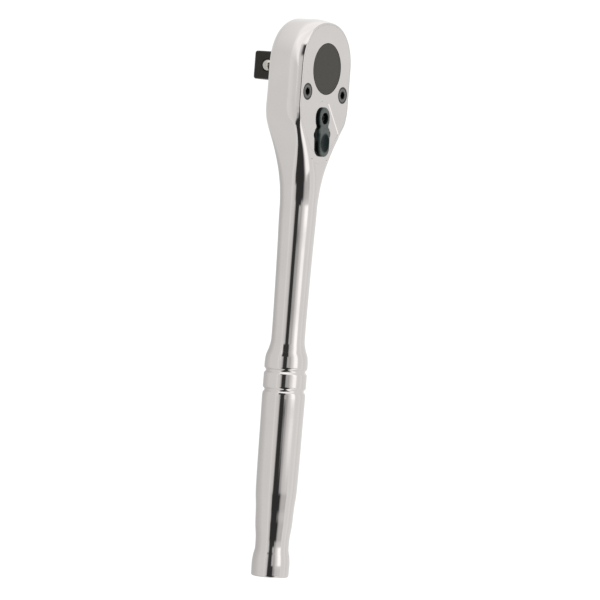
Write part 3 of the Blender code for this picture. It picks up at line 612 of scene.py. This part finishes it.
def colour_between(nodes, links, value, dark, light):
    ramp = nodes.new("ShaderNodeValToRGB")
    ramp.color_ramp.elements[0].position = 0.3
    ramp.color_ramp.elements[0].color = (*dark, 1)
    ramp.color_ramp.elements[1].position = 0.7
    ramp.color_ramp.elements[1].color = (*light, 1)
    links.new(value, ramp.inputs["Fac"])
    return ramp.outputs["Color"]


def bump(nodes, links, shader, height, strength, distance):
    node = nodes.new("ShaderNodeBump")
    node.inputs["Strength"].default_value = strength
    node.inputs["Distance"].default_value = distance
    links.new(height, node.inputs["Height"])
    links.new(node.outputs["Normal"], shader.inputs["Normal"])


CHROME_DARK = (0.512, 0.488, 0.476)
CHROME_LIGHT = (0.532, 0.508, 0.496)


def chrome_material():
    """Polished chrome plate: slight plating waviness, faint smudges and hairlines along the handle."""
    material, nodes, links, shader = new_material("chrome_plate")
    shader.inputs["Metallic"].default_value = 1.0
    cloud = noise(nodes, links, 60, 3)
    tint = colour_between(nodes, links, cloud, CHROME_DARK, CHROME_LIGHT)
    links.new(tint, shader.inputs["Base Color"])
    hairline = noise(nodes, links, 900, 2, 0.5, (0.05, 1, 1))
    links.new(to_range(nodes, links, hairline, 0.045, 0.085), shader.inputs["Roughness"])
    wave = noise(nodes, links, 110, 1)
    bump(nodes, links, shader, wave, 0.05, 0.0002)
    return material


def steel(name, dark, light, roughness, metallic, grain, depth):
    """Steel with a grain that varies its colour, roughness and height."""
    material, nodes, links, shader = new_material(name)
    shader.inputs["Metallic"].default_value = metallic
    speck = noise(nodes, links, grain, 6, 0.65)
    links.new(colour_between(nodes, links, speck, dark, light), shader.inputs["Base Color"])
    links.new(to_range(nodes, links, speck, *roughness), shader.inputs["Roughness"])
    bump(nodes, links, shader, speck, 0.35, depth)
    return material


def fading_spot(nodes, links, centre, size, turn=0.0):
    """1 at the centre of an ellipsoid placed on the piece and 0 at its surface."""
    place = nodes.new("ShaderNodeTexCoord")
    mapping = nodes.new("ShaderNodeMapping")
    mapping.vector_type = "TEXTURE"
    mapping.inputs["Location"].default_value = centre
    mapping.inputs["Rotation"].default_value = (0, 0, turn)
    mapping.inputs["Scale"].default_value = size
    spot = nodes.new("ShaderNodeTexGradient")
    spot.gradient_type = "SPHERICAL"
    links.new(place.outputs["Object"], mapping.inputs["Vector"])
    links.new(mapping.outputs["Vector"], spot.inputs["Vector"])
    return spot.outputs["Fac"]


def lever_material():
    """Blackened lever with grain, painted lighter on top as if lit, with painted shade on its low edges
    and down in the thumb pad.
    """
    material, nodes, links, shader = new_material("lever_black")
    speck = noise(nodes, links, 1100, 6, 0.65)
    # Lit and shaded copies of the lever's colour: the lighter one painted as if lit from above, the dark
    # one for painted shade
    painted_lit_colour = colour_between(nodes, links, speck, (0.058, 0.07, 0.067), (0.1, 0.115, 0.11))
    painted_shade_colour = colour_between(nodes, links, speck, (0.007, 0.012, 0.011), (0.013, 0.021, 0.02))
    centre = Matrix.Rotation(LEVER_REST, 3, "Z") @ Vector((PAD_CENTRE * MM, 0, 0))
    size = (PAD_SHADOW * PAD_HALF[0] * MM, PAD_SHADOW * PAD_HALF[1] * MM, 20 * MM)
    # Painted shade over the thumb pad's scoop, fading out at its rim
    pad = fading_spot(nodes, links, (LEVER_X + centre.x, centre.y, FRONT_Z), size, LEVER_REST)
    pad_shade = to_range(nodes, links, pad, 0, 1, 0.1, 0.26)
    place = nodes.new("ShaderNodeTexCoord")
    split = nodes.new("ShaderNodeSeparateXYZ")
    links.new(place.outputs["Object"], split.inputs["Vector"])
    height = split.outputs["Z"]
    # Painted shade on the ears and low down the side walls: full below 0.45 mm over the face, gone by 0.8
    # mm
    low_edge_shade = to_range(nodes, links, height, 1, 0, FRONT_Z + 0.45 * MM, FRONT_Z + 0.8 * MM)
    either = nodes.new("ShaderNodeMath")
    either.operation = "MAXIMUM"
    links.new(pad_shade, either.inputs[0])
    links.new(low_edge_shade, either.inputs[1])
    # Where either painted shade lies; those places are also made less metallic and less shiny
    painted_shade_mask = either.outputs[0]
    mix = nodes.new("ShaderNodeMix")
    mix.data_type = "RGBA"
    links.new(painted_shade_mask, mix.inputs["Factor"])
    links.new(painted_lit_colour, mix.inputs["A"])
    links.new(painted_shade_colour, mix.inputs["B"])
    links.new(mix.outputs["Result"], shader.inputs["Base Color"])
    links.new(to_range(nodes, links, painted_shade_mask, 0.55, 0.3, 0, 1), shader.inputs["Metallic"])
    links.new(to_range(nodes, links, painted_shade_mask, 0.3, 0.03, 0, 1), shader.inputs["Specular IOR Level"])
    links.new(to_range(nodes, links, speck, 0.3, 0.42), shader.inputs["Roughness"])
    bump(nodes, links, shader, speck, 0.35, 0.00004)
    return material


def screw_material(name, x, y, head):
    """Dark screw: painted shade round the rim, where the head sinks into its countersink, and in the
    socket, with the ring between them lighter.
    """
    material, nodes, links, shader = new_material(name)
    shader.inputs["Metallic"].default_value = 0.85
    from_rim = fading_spot(nodes, links, (x, y, FRONT_Z), (head, head, 100 * MM))
    # Rings of painted shade from the rim inwards: dark at the rim, lighter across the head, dark again in
    # the socket
    rings = nodes.new("ShaderNodeValToRGB")
    elements = rings.color_ramp.elements
    elements[0].position = 0.16
    elements[0].color = (0.045, 0.045, 0.042, 1)
    elements[1].position = 0.6
    elements[1].color = (0.04, 0.04, 0.038, 1)
    for position, level in ((0.25, 0.15), (0.4, 0.16), (0.47, 0.075)):
        elements.new(position).color = (level, level * 1.02, level * 0.98, 1)
    links.new(from_rim, rings.inputs["Fac"])
    speck = noise(nodes, links, 1800, 6, 0.65)
    # Multiplies the painted shade rings by the grain
    wear = nodes.new("ShaderNodeMix")
    wear.data_type = "RGBA"
    wear.blend_type = "MULTIPLY"
    wear.inputs["Factor"].default_value = 1.0
    links.new(rings.outputs["Color"], wear.inputs["A"])
    links.new(colour_between(nodes, links, speck, (0.7, 0.7, 0.7), (1, 1, 1)), wear.inputs["B"])
    links.new(wear.outputs["Result"], shader.inputs["Base Color"])
    links.new(to_range(nodes, links, speck, 0.28, 0.42), shader.inputs["Roughness"])
    bump(nodes, links, shader, speck, 0.35, 0.00002)
    return material


def rubber_material():
    """Matt black seal rubber."""
    material, nodes, links, shader = new_material("seal_rubber")
    cloud = noise(nodes, links, 1500, 4)
    tint = colour_between(nodes, links, cloud, (0.012, 0.012, 0.012), (0.03, 0.03, 0.03))
    links.new(tint, shader.inputs["Base Color"])
    links.new(to_range(nodes, links, cloud, 0.55, 0.8), shader.inputs["Roughness"])
    bump(nodes, links, shader, cloud, 0.3, 0.00005)
    return material


CHROME = chrome_material()
HUB_BLACK = steel(
    "hub_matte_black",
    dark=(0.035, 0.033, 0.027),
    light=(0.063, 0.06, 0.05),
    roughness=(0.5, 0.7),
    metallic=0.5,
    grain=2600,
    depth=0.00004,
)
OXIDE = steel(
    "black_oxide",
    dark=(0.01, 0.009, 0.006),
    light=(0.023, 0.021, 0.014),
    roughness=(0.32, 0.5),
    metallic=0.6,
    grain=1500,
    depth=0.00003,
)
STEEL = steel(
    "bright_steel",
    dark=(0.36, 0.345, 0.315),
    light=(0.49, 0.47, 0.435),
    roughness=(0.1, 0.2),
    metallic=1.0,
    grain=900,
    depth=0.00001,
)
SPRING = steel(
    "spring_wire",
    dark=(0.3, 0.3, 0.29),
    light=(0.45, 0.45, 0.44),
    roughness=(0.25, 0.38),
    metallic=1.0,
    grain=2200,
    depth=0.00002,
)
RUBBER = rubber_material()


# ---------------------------------------------------------------- pieces


def make_handle():
    """Chrome handle, with the recess for the cover and the pockets for the gear and the stem."""
    body = handle_surface()
    recess = plate_outline(PLATE_INSET - SEAM)
    combine(body, prism("recess", recess, PLATE_Z - RECESS_GAP, FRONT_Z + CLEAR))
    combine(body, platform_cutter())
    floor = BACK_Z + FLOOR_THICKNESS
    cut_cylinder(body, DRIVE_BORE, BACK_Z - CLEAR, FRONT_Z)
    cut_cylinder(body, GEAR_POCKET, floor, FRONT_Z + CLEAR)
    cut_cylinder(body, STEM_POCKET, floor, FRONT_Z + CLEAR, LEVER_X)
    soften(body, FINE_EDGE, 2, 32)
    shade(body)
    finish_piece(body, "handle", "chrome", CHROME, "handle_body")


def make_plate():
    """Chrome cover with its holes for the hub disc, the lever and the two countersunk screws."""
    plate = prism("cover", plate_outline(PLATE_INSET), PLATE_Z, FRONT_Z)
    combine(plate, platform_cutter())
    above = FRONT_Z + CLEAR
    below = PLATE_Z - CLEAR
    cut_cylinder(plate, HUB_HOLE, below, above, segments=128)
    cut_cylinder(plate, LEVER_HOLE, below, above, LEVER_X)
    for low, high in SCREW_BOXES.values():
        middle = (low + high) / 2
        radius = (high.x - low.x) / 2 + SCREW_GAP
        rim = FRONT_Z - SCREW_SINK
        profile = [(0, above), (radius, above), (radius, rim)]
        profile += [(SCREW_HOLE, rim - radius + SCREW_HOLE), (SCREW_HOLE, below), (0, below)]
        sink = turned("sink", profile, 64)
        sink.location = (middle.x, middle.y, 0)
        combine(plate, sink)
    soften(plate, FINE_EDGE, 2, 30)
    shade(plate)
    finish_piece(plate, "handle", "chrome", CHROME, "cover_plate")


def hexagon(radius, turn=0.0):
    angles = [turn + math.pi / 3 * i for i in range(6)]
    return [(radius * math.cos(angle), radius * math.sin(angle)) for angle in angles]


def make_cover_screw(side, turn):
    """Countersunk cover screw with a hexagon socket, each turned as it was tightened."""
    low, high = SCREW_BOXES[side]
    middle = (low + high) / 2
    head = (high.x - low.x) / 2
    rim = high.z - SCREW_RIM
    profile = [(0, high.z), (head, high.z), (head, rim), (SCREW_SHANK, rim - head + SCREW_SHANK)]
    profile += [(SCREW_SHANK, low.z), (0, low.z)]
    screw = turned(f"cap_screw_{side}", profile, 64)
    hexagonal = hexagon(SCREW_SOCKET, turn)
    combine(screw, prism("socket", hexagonal, high.z - SCREW_SOCKET_DEPTH, high.z + 1 * MM))
    soften(screw, SCREW_EDGE, 3, 35)
    screw.data.transform(Matrix.Translation((middle.x, middle.y, 0)))
    shade(screw)
    material = screw_material(f"screw_dark_{side}", middle.x, middle.y, head)
    finish_piece(screw, "handle", "screw_black", material, f"cover_screw_{side}")


def gear_outline():
    """Teeth with straight flanks, each gap from tip to root and back to the next tip."""
    step = 2 * math.pi / GEAR_TEETH
    gap_half = step / 2 - TOOTH_LAND / GEAR_TIP
    root_half = gap_half - TOOTH_FLANK * (GEAR_TIP - GEAR_ROOT) / GEAR_TIP
    gap = ((GEAR_TIP, -gap_half), (GEAR_ROOT, -root_half), (GEAR_ROOT, root_half), (GEAR_TIP, gap_half))
    points = []
    for i in range(GEAR_TEETH):
        for radius, offset in gap:
            angle = GEAR_TURN + step * i + offset
            points.append((radius * math.cos(angle), radius * math.sin(angle)))
    return points


def make_drive():
    """Square tang, journal and toothed rim of the drive gear."""
    low, high = GEAR_LOW, GEAR_HIGH
    drive = prism("drive_square", gear_outline(), BACK_Z + GEAR_LIFT, GEAR_TOP)
    journal_top = high.z - 2 * MM
    journal = [(0, journal_top), (JOURNAL_RADIUS, journal_top), (JOURNAL_RADIUS, BACK_Z), (0, BACK_Z)]
    combine(drive, turned("journal", journal, 96), "UNION")
    square = [(SQUARE_HALF * x, SQUARE_HALF * y) for x, y in ((1, 1), (-1, 1), (-1, -1), (1, -1))]
    tang = prism("tang", square, low.z, BACK_Z + 2 * MM)
    soften(tang, SQUARE_EDGE, 5, 40)
    combine(drive, tang, "UNION")
    ball_z = (BALL_LOW.z + BALL_HIGH.z) / 2
    radius = (BALL_HIGH.z - BALL_LOW.z) / 2
    lip = radius - BALL_LIP_REACH
    wide = radius + BALL_BORE_GAP
    profile = [(0, 20 * MM), (lip, 20 * MM), (lip, BALL_LIP), (wide, BALL_LIP)]
    profile += [(wide, BALL_BORE_END), (0, BALL_BORE_END)]
    bore = turned("bore", profile, 64)
    bore.data.transform(Matrix.Translation((0, 0, ball_z)) @ Matrix.Rotation(math.pi / 2, 4, "X"))
    combine(drive, bore)
    soften(drive, DRIVE_EDGE, 3, 30)
    shade(drive)
    finish_piece(drive, "drive", "black_oxide", OXIDE, "drive_gear")


def make_hub_disc():
    """Matt disc that closes the front of the gear, with a fine turned groove near its edge."""
    top = GEAR_HIGH.z
    groove_start, groove_middle, groove_end = [HUB_RADIUS - step for step in HUB_GROOVE]
    cut = 0.3 * HUB_EDGE
    bottom = GEAR_TOP + 0.05 * MM
    inside = top - HUB_THICKNESS
    profile = [
        (0, top),
        (groove_start, top),
        (groove_middle, top - HUB_GROOVE_DEPTH),
        (groove_end, top),
        (HUB_RADIUS - HUB_EDGE, top),
        (HUB_RADIUS - cut, top - cut),
        (HUB_RADIUS, top - HUB_EDGE),
        (HUB_RADIUS, bottom),
        (HUB_NECK, bottom),
        (HUB_NECK, inside),
        (0, inside),
    ]
    hub = turned("hub_disc", profile, 160)
    shade(hub)
    finish_piece(hub, "drive", "black_oxide", HUB_BLACK)


def make_ball():
    """Polished ball with the narrow contact ring that sockets wear on it."""
    radius = (BALL_HIGH.z - BALL_LOW.z) / 2
    profile = []
    steps = 48
    for i in range(steps + 1):
        angle = math.pi * i / steps
        from_ring = (math.degrees(angle) - BALL_WEAR_ANGLE) / BALL_WEAR_SPREAD
        wear = BALL_WEAR * math.exp(-(from_ring**2))
        profile.append(((radius - wear) * math.sin(angle), (radius - wear) * math.cos(angle)))
    ball = turned("detent_ball_polished", profile, 72)
    centre = (BALL_LOW + BALL_HIGH) / 2
    ball.data.transform(Matrix.Translation(centre) @ Matrix.Rotation(math.pi / 2, 4, "X"))
    shade(ball, 80)
    finish_piece(ball, "ball", "bright_steel", STEEL, "detent_ball")


def lever_outline():
    """Outline along +X from the pivot, in mm: round hub, neck, two small ears and a thumb pad."""
    along, across = LEVER_HUB
    angles = np.linspace(0, LEVER_HUB_SPAN, 26)
    half = [(along * math.cos(math.pi - angle), across * math.sin(angle)) for angle in angles]
    tip = arc(LEVER_LENGTH - TIP_RADIUS, TIP_RADIUS, math.radians(80), 0, 18)
    knots = [half[-1], *LEVER_EDGE, tip[0]]
    for i in range(len(knots) - 1):
        before = Vector(knots[max(i - 1, 0)])
        start = Vector(knots[i])
        end = Vector(knots[i + 1])
        after = Vector(knots[min(i + 2, len(knots) - 1)])
        for step in range(1, 5):
            t = step / 4
            point = 0.5 * (
                2 * start
                + (end - before) * t
                + (2 * before - 5 * start + 4 * end - after) * t * t
                + (3 * start - before - 3 * end + after) * t**3
            )
            half.append((point.x, point.y))
    return mirrored([(x, max(y, 0)) for x, y in half + tip[1:]])


def lever_height(x, y):
    """Height of the lever's top above the cover's face, in mm."""
    top = HUB_TOP + (PAD_TOP - HUB_TOP) * smooth_step(*LEVER_RISE, x)
    across = y / PAD_HALF[1]
    along = (x - PAD_CENTRE) / PAD_HALF[0]
    scoop = PAD_DEPTH * max(1 - along * along - across * across, 0) ** 0.7
    ear = smooth_step(BODY_HALF - 0.2, BODY_HALF + 0.5, abs(y))
    return top - scoop - (top - EAR_TOP) * ear


def make_lever():
    """Thumb lever: rows of points that shrink from its outline to the line between hub and tip."""
    outline = lever_outline()
    shape = bmesh.new()
    centres = [min(max(x, 0.0), LEVER_LENGTH - TIP_RADIUS) for x, _ in outline]
    rows = [[shape.verts.new((x * MM, y * MM, LEVER_BOTTOM)) for x, y in outline]]
    flat_share = TOP_EDGE_ROWS[-1][0]
    top_rows = [(flat_share * (1 - i / TOP_ROWS), 0.0) for i in range(1, TOP_ROWS + 1)]
    for share, drop in (*TOP_EDGE_ROWS, *top_rows):
        row = []
        for (x, y), centre in zip(outline, centres):
            px = centre + (x - centre) * share
            py = y * share
            height = lever_height(px, py) - TOP_ROUNDING * drop
            row.append(shape.verts.new((px * MM, py * MM, FRONT_Z + height * MM)))
        rows.append(row)
    for outer, inner in zip(rows, rows[1:]):
        for k in range(len(outer)):
            n = (k + 1) % len(outer)
            shape.faces.new((outer[k], outer[n], inner[n], inner[k]))
    shape.faces.new(rows[0])
    bmesh.ops.remove_doubles(shape, verts=shape.verts, dist=1e-6)
    bmesh.ops.recalc_face_normals(shape, faces=shape.faces)
    lever = object_from_bmesh("thumb_lever", shape)
    boss_top = FRONT_Z - 0.3 * MM
    boss_bottom = PLATE_Z + 0.2 * MM
    boss = [(0, boss_top), (BOSS_RADIUS, boss_top), (BOSS_RADIUS, boss_bottom), (0, boss_bottom)]
    combine(lever, turned("boss", boss, 64), "UNION")
    counterbore_bottom = LEVER_SCREW_SEAT - 0.1 * MM
    cut_cylinder(lever, COUNTERBORE, counterbore_bottom, FRONT_Z + 9 * MM, segments=64)
    soften(lever, LEVER_SOFT_EDGE, 2, 55)
    lever.data.transform(Matrix.Translation((LEVER_X, 0, 0)) @ Matrix.Rotation(LEVER_REST, 4, "Z"))
    shade(lever, 50)
    finish_piece(lever, "lever", "lever_black", lever_material(), "reversing_lever")


def make_lever_screw():
    """Cheese-head screw with a hexagon socket, down in the lever's counterbore."""
    low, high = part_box("lever_screw")
    middle = (low + high) / 2
    head = (high.x - low.x) / 2
    profile = [(0, high.z), (head, high.z), (head, LEVER_SCREW_SEAT)]
    profile += [(LEVER_SCREW_SHANK, LEVER_SCREW_SEAT), (LEVER_SCREW_SHANK, low.z), (0, low.z)]
    screw = turned("lever_cap_screw", profile, 64)
    hexagonal = hexagon(LEVER_SCREW_SOCKET, 0.3)
    combine(screw, prism("socket", hexagonal, high.z - LEVER_SCREW_DEPTH, high.z + 1 * MM))
    soften(screw, LEVER_SOFT_EDGE, 3, 35)
    screw.data.transform(Matrix.Translation((middle.x, middle.y, 0)))
    shade(screw)
    material = screw_material("screw_dark_lever", middle.x, middle.y, head)
    finish_piece(screw, "lever", "screw_black", material, "lever_screw")


def dress_cad_nodes():
    """Finishes for the hidden CAD pieces that are kept as they are."""
    finishes = {
        "detent_spring": SPRING,
        "plunger_spring": SPRING,
        "drive_seal_ring": RUBBER,
        "hub_seal_ring": RUBBER,
        "lever_seal_ring": RUBBER,
        "gear_thrust_washer": STEEL,
        "lever_stem": STEEL,
        "pawl_plunger": STEEL,
        "pawl": OXIDE,
    }
    for node, material in finishes.items():
        body = frame["nodes"][node]
        body.data.materials.clear()
        body.data.materials.append(material)


# ---------------------------------------------------------------- studio


def srgb_to_linear(value):
    value = value / 255
    return value / 12.92 if value <= 0.04045 else ((value + 0.055) / 1.055) ** 2.4


# The dome is given as it shows in the chrome: pairs of degrees, from the viewer's horizon (0) over
# the top (90) to the far horizon (180), and brightness from 0 to 255
CHROME_REFLECTANCE = 0.5
FAR_WALL = ((104, 202), (118, 202), (126, 208), (133, 207), (140, 196), (149, 203), (180, 195))
FAR_SIDE = ((98, 207), *FAR_WALL)
NOSE_SIDE = (
    (0, 228),
    (10, 243),
    (40, 243),
    (70, 236),
    (92, 226),
    (110, 208),
    (147, 200),
    (180, 195),
)
WIDE_GAP = ((0, 197), (3, 150), (6, 48), (39, 48), (44, 160), (60, 189), (70, 213), (79, 250), (92, 250))
GAP = (
    (0, 197),
    (7, 186),
    (13, 150),
    (17, 46),
    (34, 46),
    (38, 160),
    (46, 165),
    (51, 152),
    (60, 189),
    (69, 213),
    (79, 250),
    (92, 250),
)
DULL_GAP = ((0, 197), (10, 186), (16, 46), (44, 46), (48, 150), (53, 152), (60, 185), (79, 196), (92, 196))
GRIP_GAP = ((0, 190), (8, 175), (13, 44), (54, 44), (59, 130), (66, 168), (79, 174), (92, 174))
NECK_GAP = ((0, 190), (3, 150), (7, 44), (56, 44), (62, 120), (70, 215), (77, 242), (93, 242))
# The dome's zones along X, each with the stretch of X in which it takes over from the one before
FIRST_ZONE = NOSE_SIDE
LATER_ZONES = (
    (-0.75, -0.66, WIDE_GAP + FAR_SIDE),
    (-0.4, -0.26, GAP + FAR_SIDE),
    (0.03, 0.1, DULL_GAP + FAR_SIDE),
    (0.1, 0.19, GRIP_GAP + FAR_SIDE),
    (0.3, 0.4, NECK_GAP + FAR_WALL),
)
BACKDROP_STRENGTH = 1.1

# The table as the chrome sees it: brighter past the nose, a little brighter on the viewer's side and
# duller further out, with a painted shadow under the handle. Stretches along X and Y are in metres.
TABLE_HALF = 15
TABLE_GAP = 0.4 * MM
HANDLE_REST = 5 * MM
FLOOR_GLOW = 1.0
NOSE_GLOW = 1.5
NOSE_GLOW_X = (-0.13, -0.025)
NEAR_GLOW = 0.1
NEAR_GLOW_Y = (-0.084, -0.07)
OUTER_GLOW = -0.12
OUTER_GLOW_Y = (-0.22, -0.1)
SHADE = -0.3
SHADE_FROM_Y = (-0.017, -0.004)
SHADE_TO_Y = (0.01, 0.03)
SHADE_FROM_X = (0.03, 0.04)


def make_world():
    """Soft studio dome as the chrome sees it, behind a plain white backdrop that the camera sees."""
    world = bpy.data.worlds.new("studio")
    bpy.context.scene.world = world
    world.use_nodes = True
    nodes = world.node_tree.nodes
    links = world.node_tree.links
    nodes.clear()
    place = nodes.new("ShaderNodeTexCoord")
    split = nodes.new("ShaderNodeSeparateXYZ")
    links.new(place.outputs["Generated"], split.inputs["Vector"])

    def maths(operation, first, second=None, clamp=False):
        node = nodes.new("ShaderNodeMath")
        node.operation = operation
        node.use_clamp = clamp
        for socket, value in zip(node.inputs, (first, second)):
            if value is None:
                continue
            if isinstance(value, (int, float)):
                socket.default_value = value
            else:
                links.new(value, socket)
        return node.outputs[0]

    toward = maths("MULTIPLY", split.outputs["Y"], -1.0)
    angle = maths("ARCTAN2", split.outputs["Z"], toward)
    share = maths("DIVIDE", angle, math.pi, clamp=True)

    def ramp(stops):
        node = nodes.new("ShaderNodeValToRGB")
        elements = node.color_ramp.elements
        while len(elements) > 1:
            elements.remove(elements[-1])
        for index, (degrees, brightness) in enumerate(stops):
            element = elements[0] if index == 0 else elements.new(degrees / 180)
            element.position = degrees / 180
            level = srgb_to_linear(brightness) / CHROME_REFLECTANCE
            element.color = (level, level, level, 1)
        links.new(share, node.inputs["Fac"])
        return node.outputs["Color"]

    def mix(factor, first, second):
        node = nodes.new("ShaderNodeMix")
        node.data_type = "RGBA"
        links.new(factor, node.inputs["Factor"])
        links.new(first, node.inputs["A"])
        links.new(second, node.inputs["B"])
        return node.outputs["Result"]

    def step(low, high):
        node = nodes.new("ShaderNodeMapRange")
        node.interpolation_type = "SMOOTHSTEP"
        node.inputs["From Min"].default_value = low
        node.inputs["From Max"].default_value = high
        links.new(split.outputs["X"], node.inputs["Value"])
        return node.outputs["Result"]

    colour = ramp(FIRST_ZONE)
    for low, high, stops in LATER_ZONES:
        colour = mix(step(low, high), colour, ramp(stops))
    background = nodes.new("ShaderNodeBackground")
    links.new(colour, background.inputs["Color"])
    plain = nodes.new("ShaderNodeBackground")
    plain.inputs["Color"].default_value = (1, 1, 1, 1)
    plain.inputs["Strength"].default_value = BACKDROP_STRENGTH
    seen = nodes.new("ShaderNodeLightPath")
    chosen = nodes.new("ShaderNodeMixShader")
    links.new(seen.outputs["Is Camera Ray"], chosen.inputs["Fac"])
    links.new(background.outputs[0], chosen.inputs[1])
    links.new(plain.outputs[0], chosen.inputs[2])
    output = nodes.new("ShaderNodeOutputWorld")
    links.new(chosen.outputs[0], output.inputs["Surface"])


def make_floor():
    """Pale table just under the drive square and the handle's end, evenly white to the camera."""
    rest_x = HANDLE_END - HANDLE_REST
    handle_bottom = AXIS_Z - grip_radius(rest_x)
    slope = (handle_bottom - GEAR_LOW.z) / (rest_x - SQUARE_HALF)
    shape = bmesh.new()
    bmesh.ops.create_grid(shape, x_segments=8, y_segments=8, size=TABLE_HALF)
    table = object_from_bmesh("table", shape)
    table.rotation_euler.y = -math.atan(slope)
    table.location.z = GEAR_LOW.z - slope * SQUARE_HALF - TABLE_GAP
    material, nodes, links, shader = new_material("table_white")
    cloud = noise(nodes, links, 3, 2)
    tint = colour_between(nodes, links, cloud, (0.09, 0.09, 0.09), (0.11, 0.11, 0.11))
    links.new(tint, shader.inputs["Base Color"])
    shader.inputs["Roughness"].default_value = 0.9
    shader.inputs["Specular IOR Level"].default_value = 0.0
    shader.inputs["Emission Color"].default_value = (1, 1, 1, 1)
    place = nodes.new("ShaderNodeTexCoord")
    split = nodes.new("ShaderNodeSeparateXYZ")
    links.new(place.outputs["Object"], split.inputs["Vector"])

    def along(axis, stretch, low, high):
        return to_range(nodes, links, split.outputs[axis], low, high, *stretch)

    def combined(operation, first, second):
        node = nodes.new("ShaderNodeMath")
        node.operation = operation
        links.new(first, node.inputs[0])
        links.new(second, node.inputs[1])
        return node.outputs[0]

    glow = along("X", NOSE_GLOW_X, NOSE_GLOW, FLOOR_GLOW)
    glow = combined("ADD", glow, along("Y", NEAR_GLOW_Y, NEAR_GLOW, 0))
    glow = combined("ADD", glow, along("Y", OUTER_GLOW_Y, OUTER_GLOW, 0))
    # Painted shadow under the handle, in the glow that reflections see
    under = combined("MULTIPLY", along("Y", SHADE_FROM_Y, 0, 1), along("Y", SHADE_TO_Y, 1, 0))
    under = combined("MULTIPLY", under, along("X", SHADE_FROM_X, 0, SHADE))
    glow = combined("ADD", glow, under)
    seen = nodes.new("ShaderNodeLightPath")
    shown = nodes.new("ShaderNodeMix")
    links.new(seen.outputs["Is Camera Ray"], shown.inputs["Factor"])
    links.new(glow, shown.inputs["A"])
    shown.inputs["B"].default_value = FLOOR_GLOW
    links.new(shown.outputs["Result"], shader.inputs["Emission Strength"])
    table.data.materials.append(material)


# The camera stands off the handle's side, above the face, and looks at a point a little aside of it
CAMERA_ELEVATION = math.radians(32.3)
CAMERA_DISTANCE = 1.9
CAMERA_X = 61 * MM
AIM_X = 104.215 * MM
AIM_ASIDE = 3.95 * MM
CAMERA_ROLL = math.radians(4.46)
CAMERA_LENS = 253.6


def make_camera():
    """Looks at the face and the left side of the wrench, with the head at the top of the picture."""
    aside = Vector((0, math.sin(CAMERA_ELEVATION), math.cos(CAMERA_ELEVATION)))
    target = Vector((AIM_X, 0, AXIS_Z)) + aside * AIM_ASIDE
    out = Vector((0, -math.cos(CAMERA_ELEVATION), math.sin(CAMERA_ELEVATION)))
    eye = Vector((CAMERA_X, 0, AXIS_Z)) + out * CAMERA_DISTANCE
    back = (eye - target).normalized()
    along = Vector((1, 0, 0))
    along = (along - back * along.dot(back)).normalized()
    across = back.cross(along)
    down = along * math.cos(CAMERA_ROLL) + across * math.sin(CAMERA_ROLL)
    right = across * math.cos(CAMERA_ROLL) - along * math.sin(CAMERA_ROLL)
    data = bpy.data.cameras.new("camera")
    data.lens = CAMERA_LENS
    data.sensor_width = 36
    data.clip_start = 0.05
    data.clip_end = 50
    camera = bpy.data.objects.new("camera", data)
    camera.matrix_world = Matrix.Translation(eye) @ Matrix((right, -down, back)).transposed().to_4x4()
    bpy.context.scene.collection.objects.link(camera)
    bpy.context.scene.camera = camera


make_handle()
make_plate()
make_cover_screw("left", 0.2)
make_cover_screw("right", 0.7)
make_drive()
make_hub_disc()
make_ball()
make_lever()
make_lever_screw()
dress_cad_nodes()
make_world()
make_floor()
make_camera()
bpy.context.scene.view_settings.view_transform = "Standard"
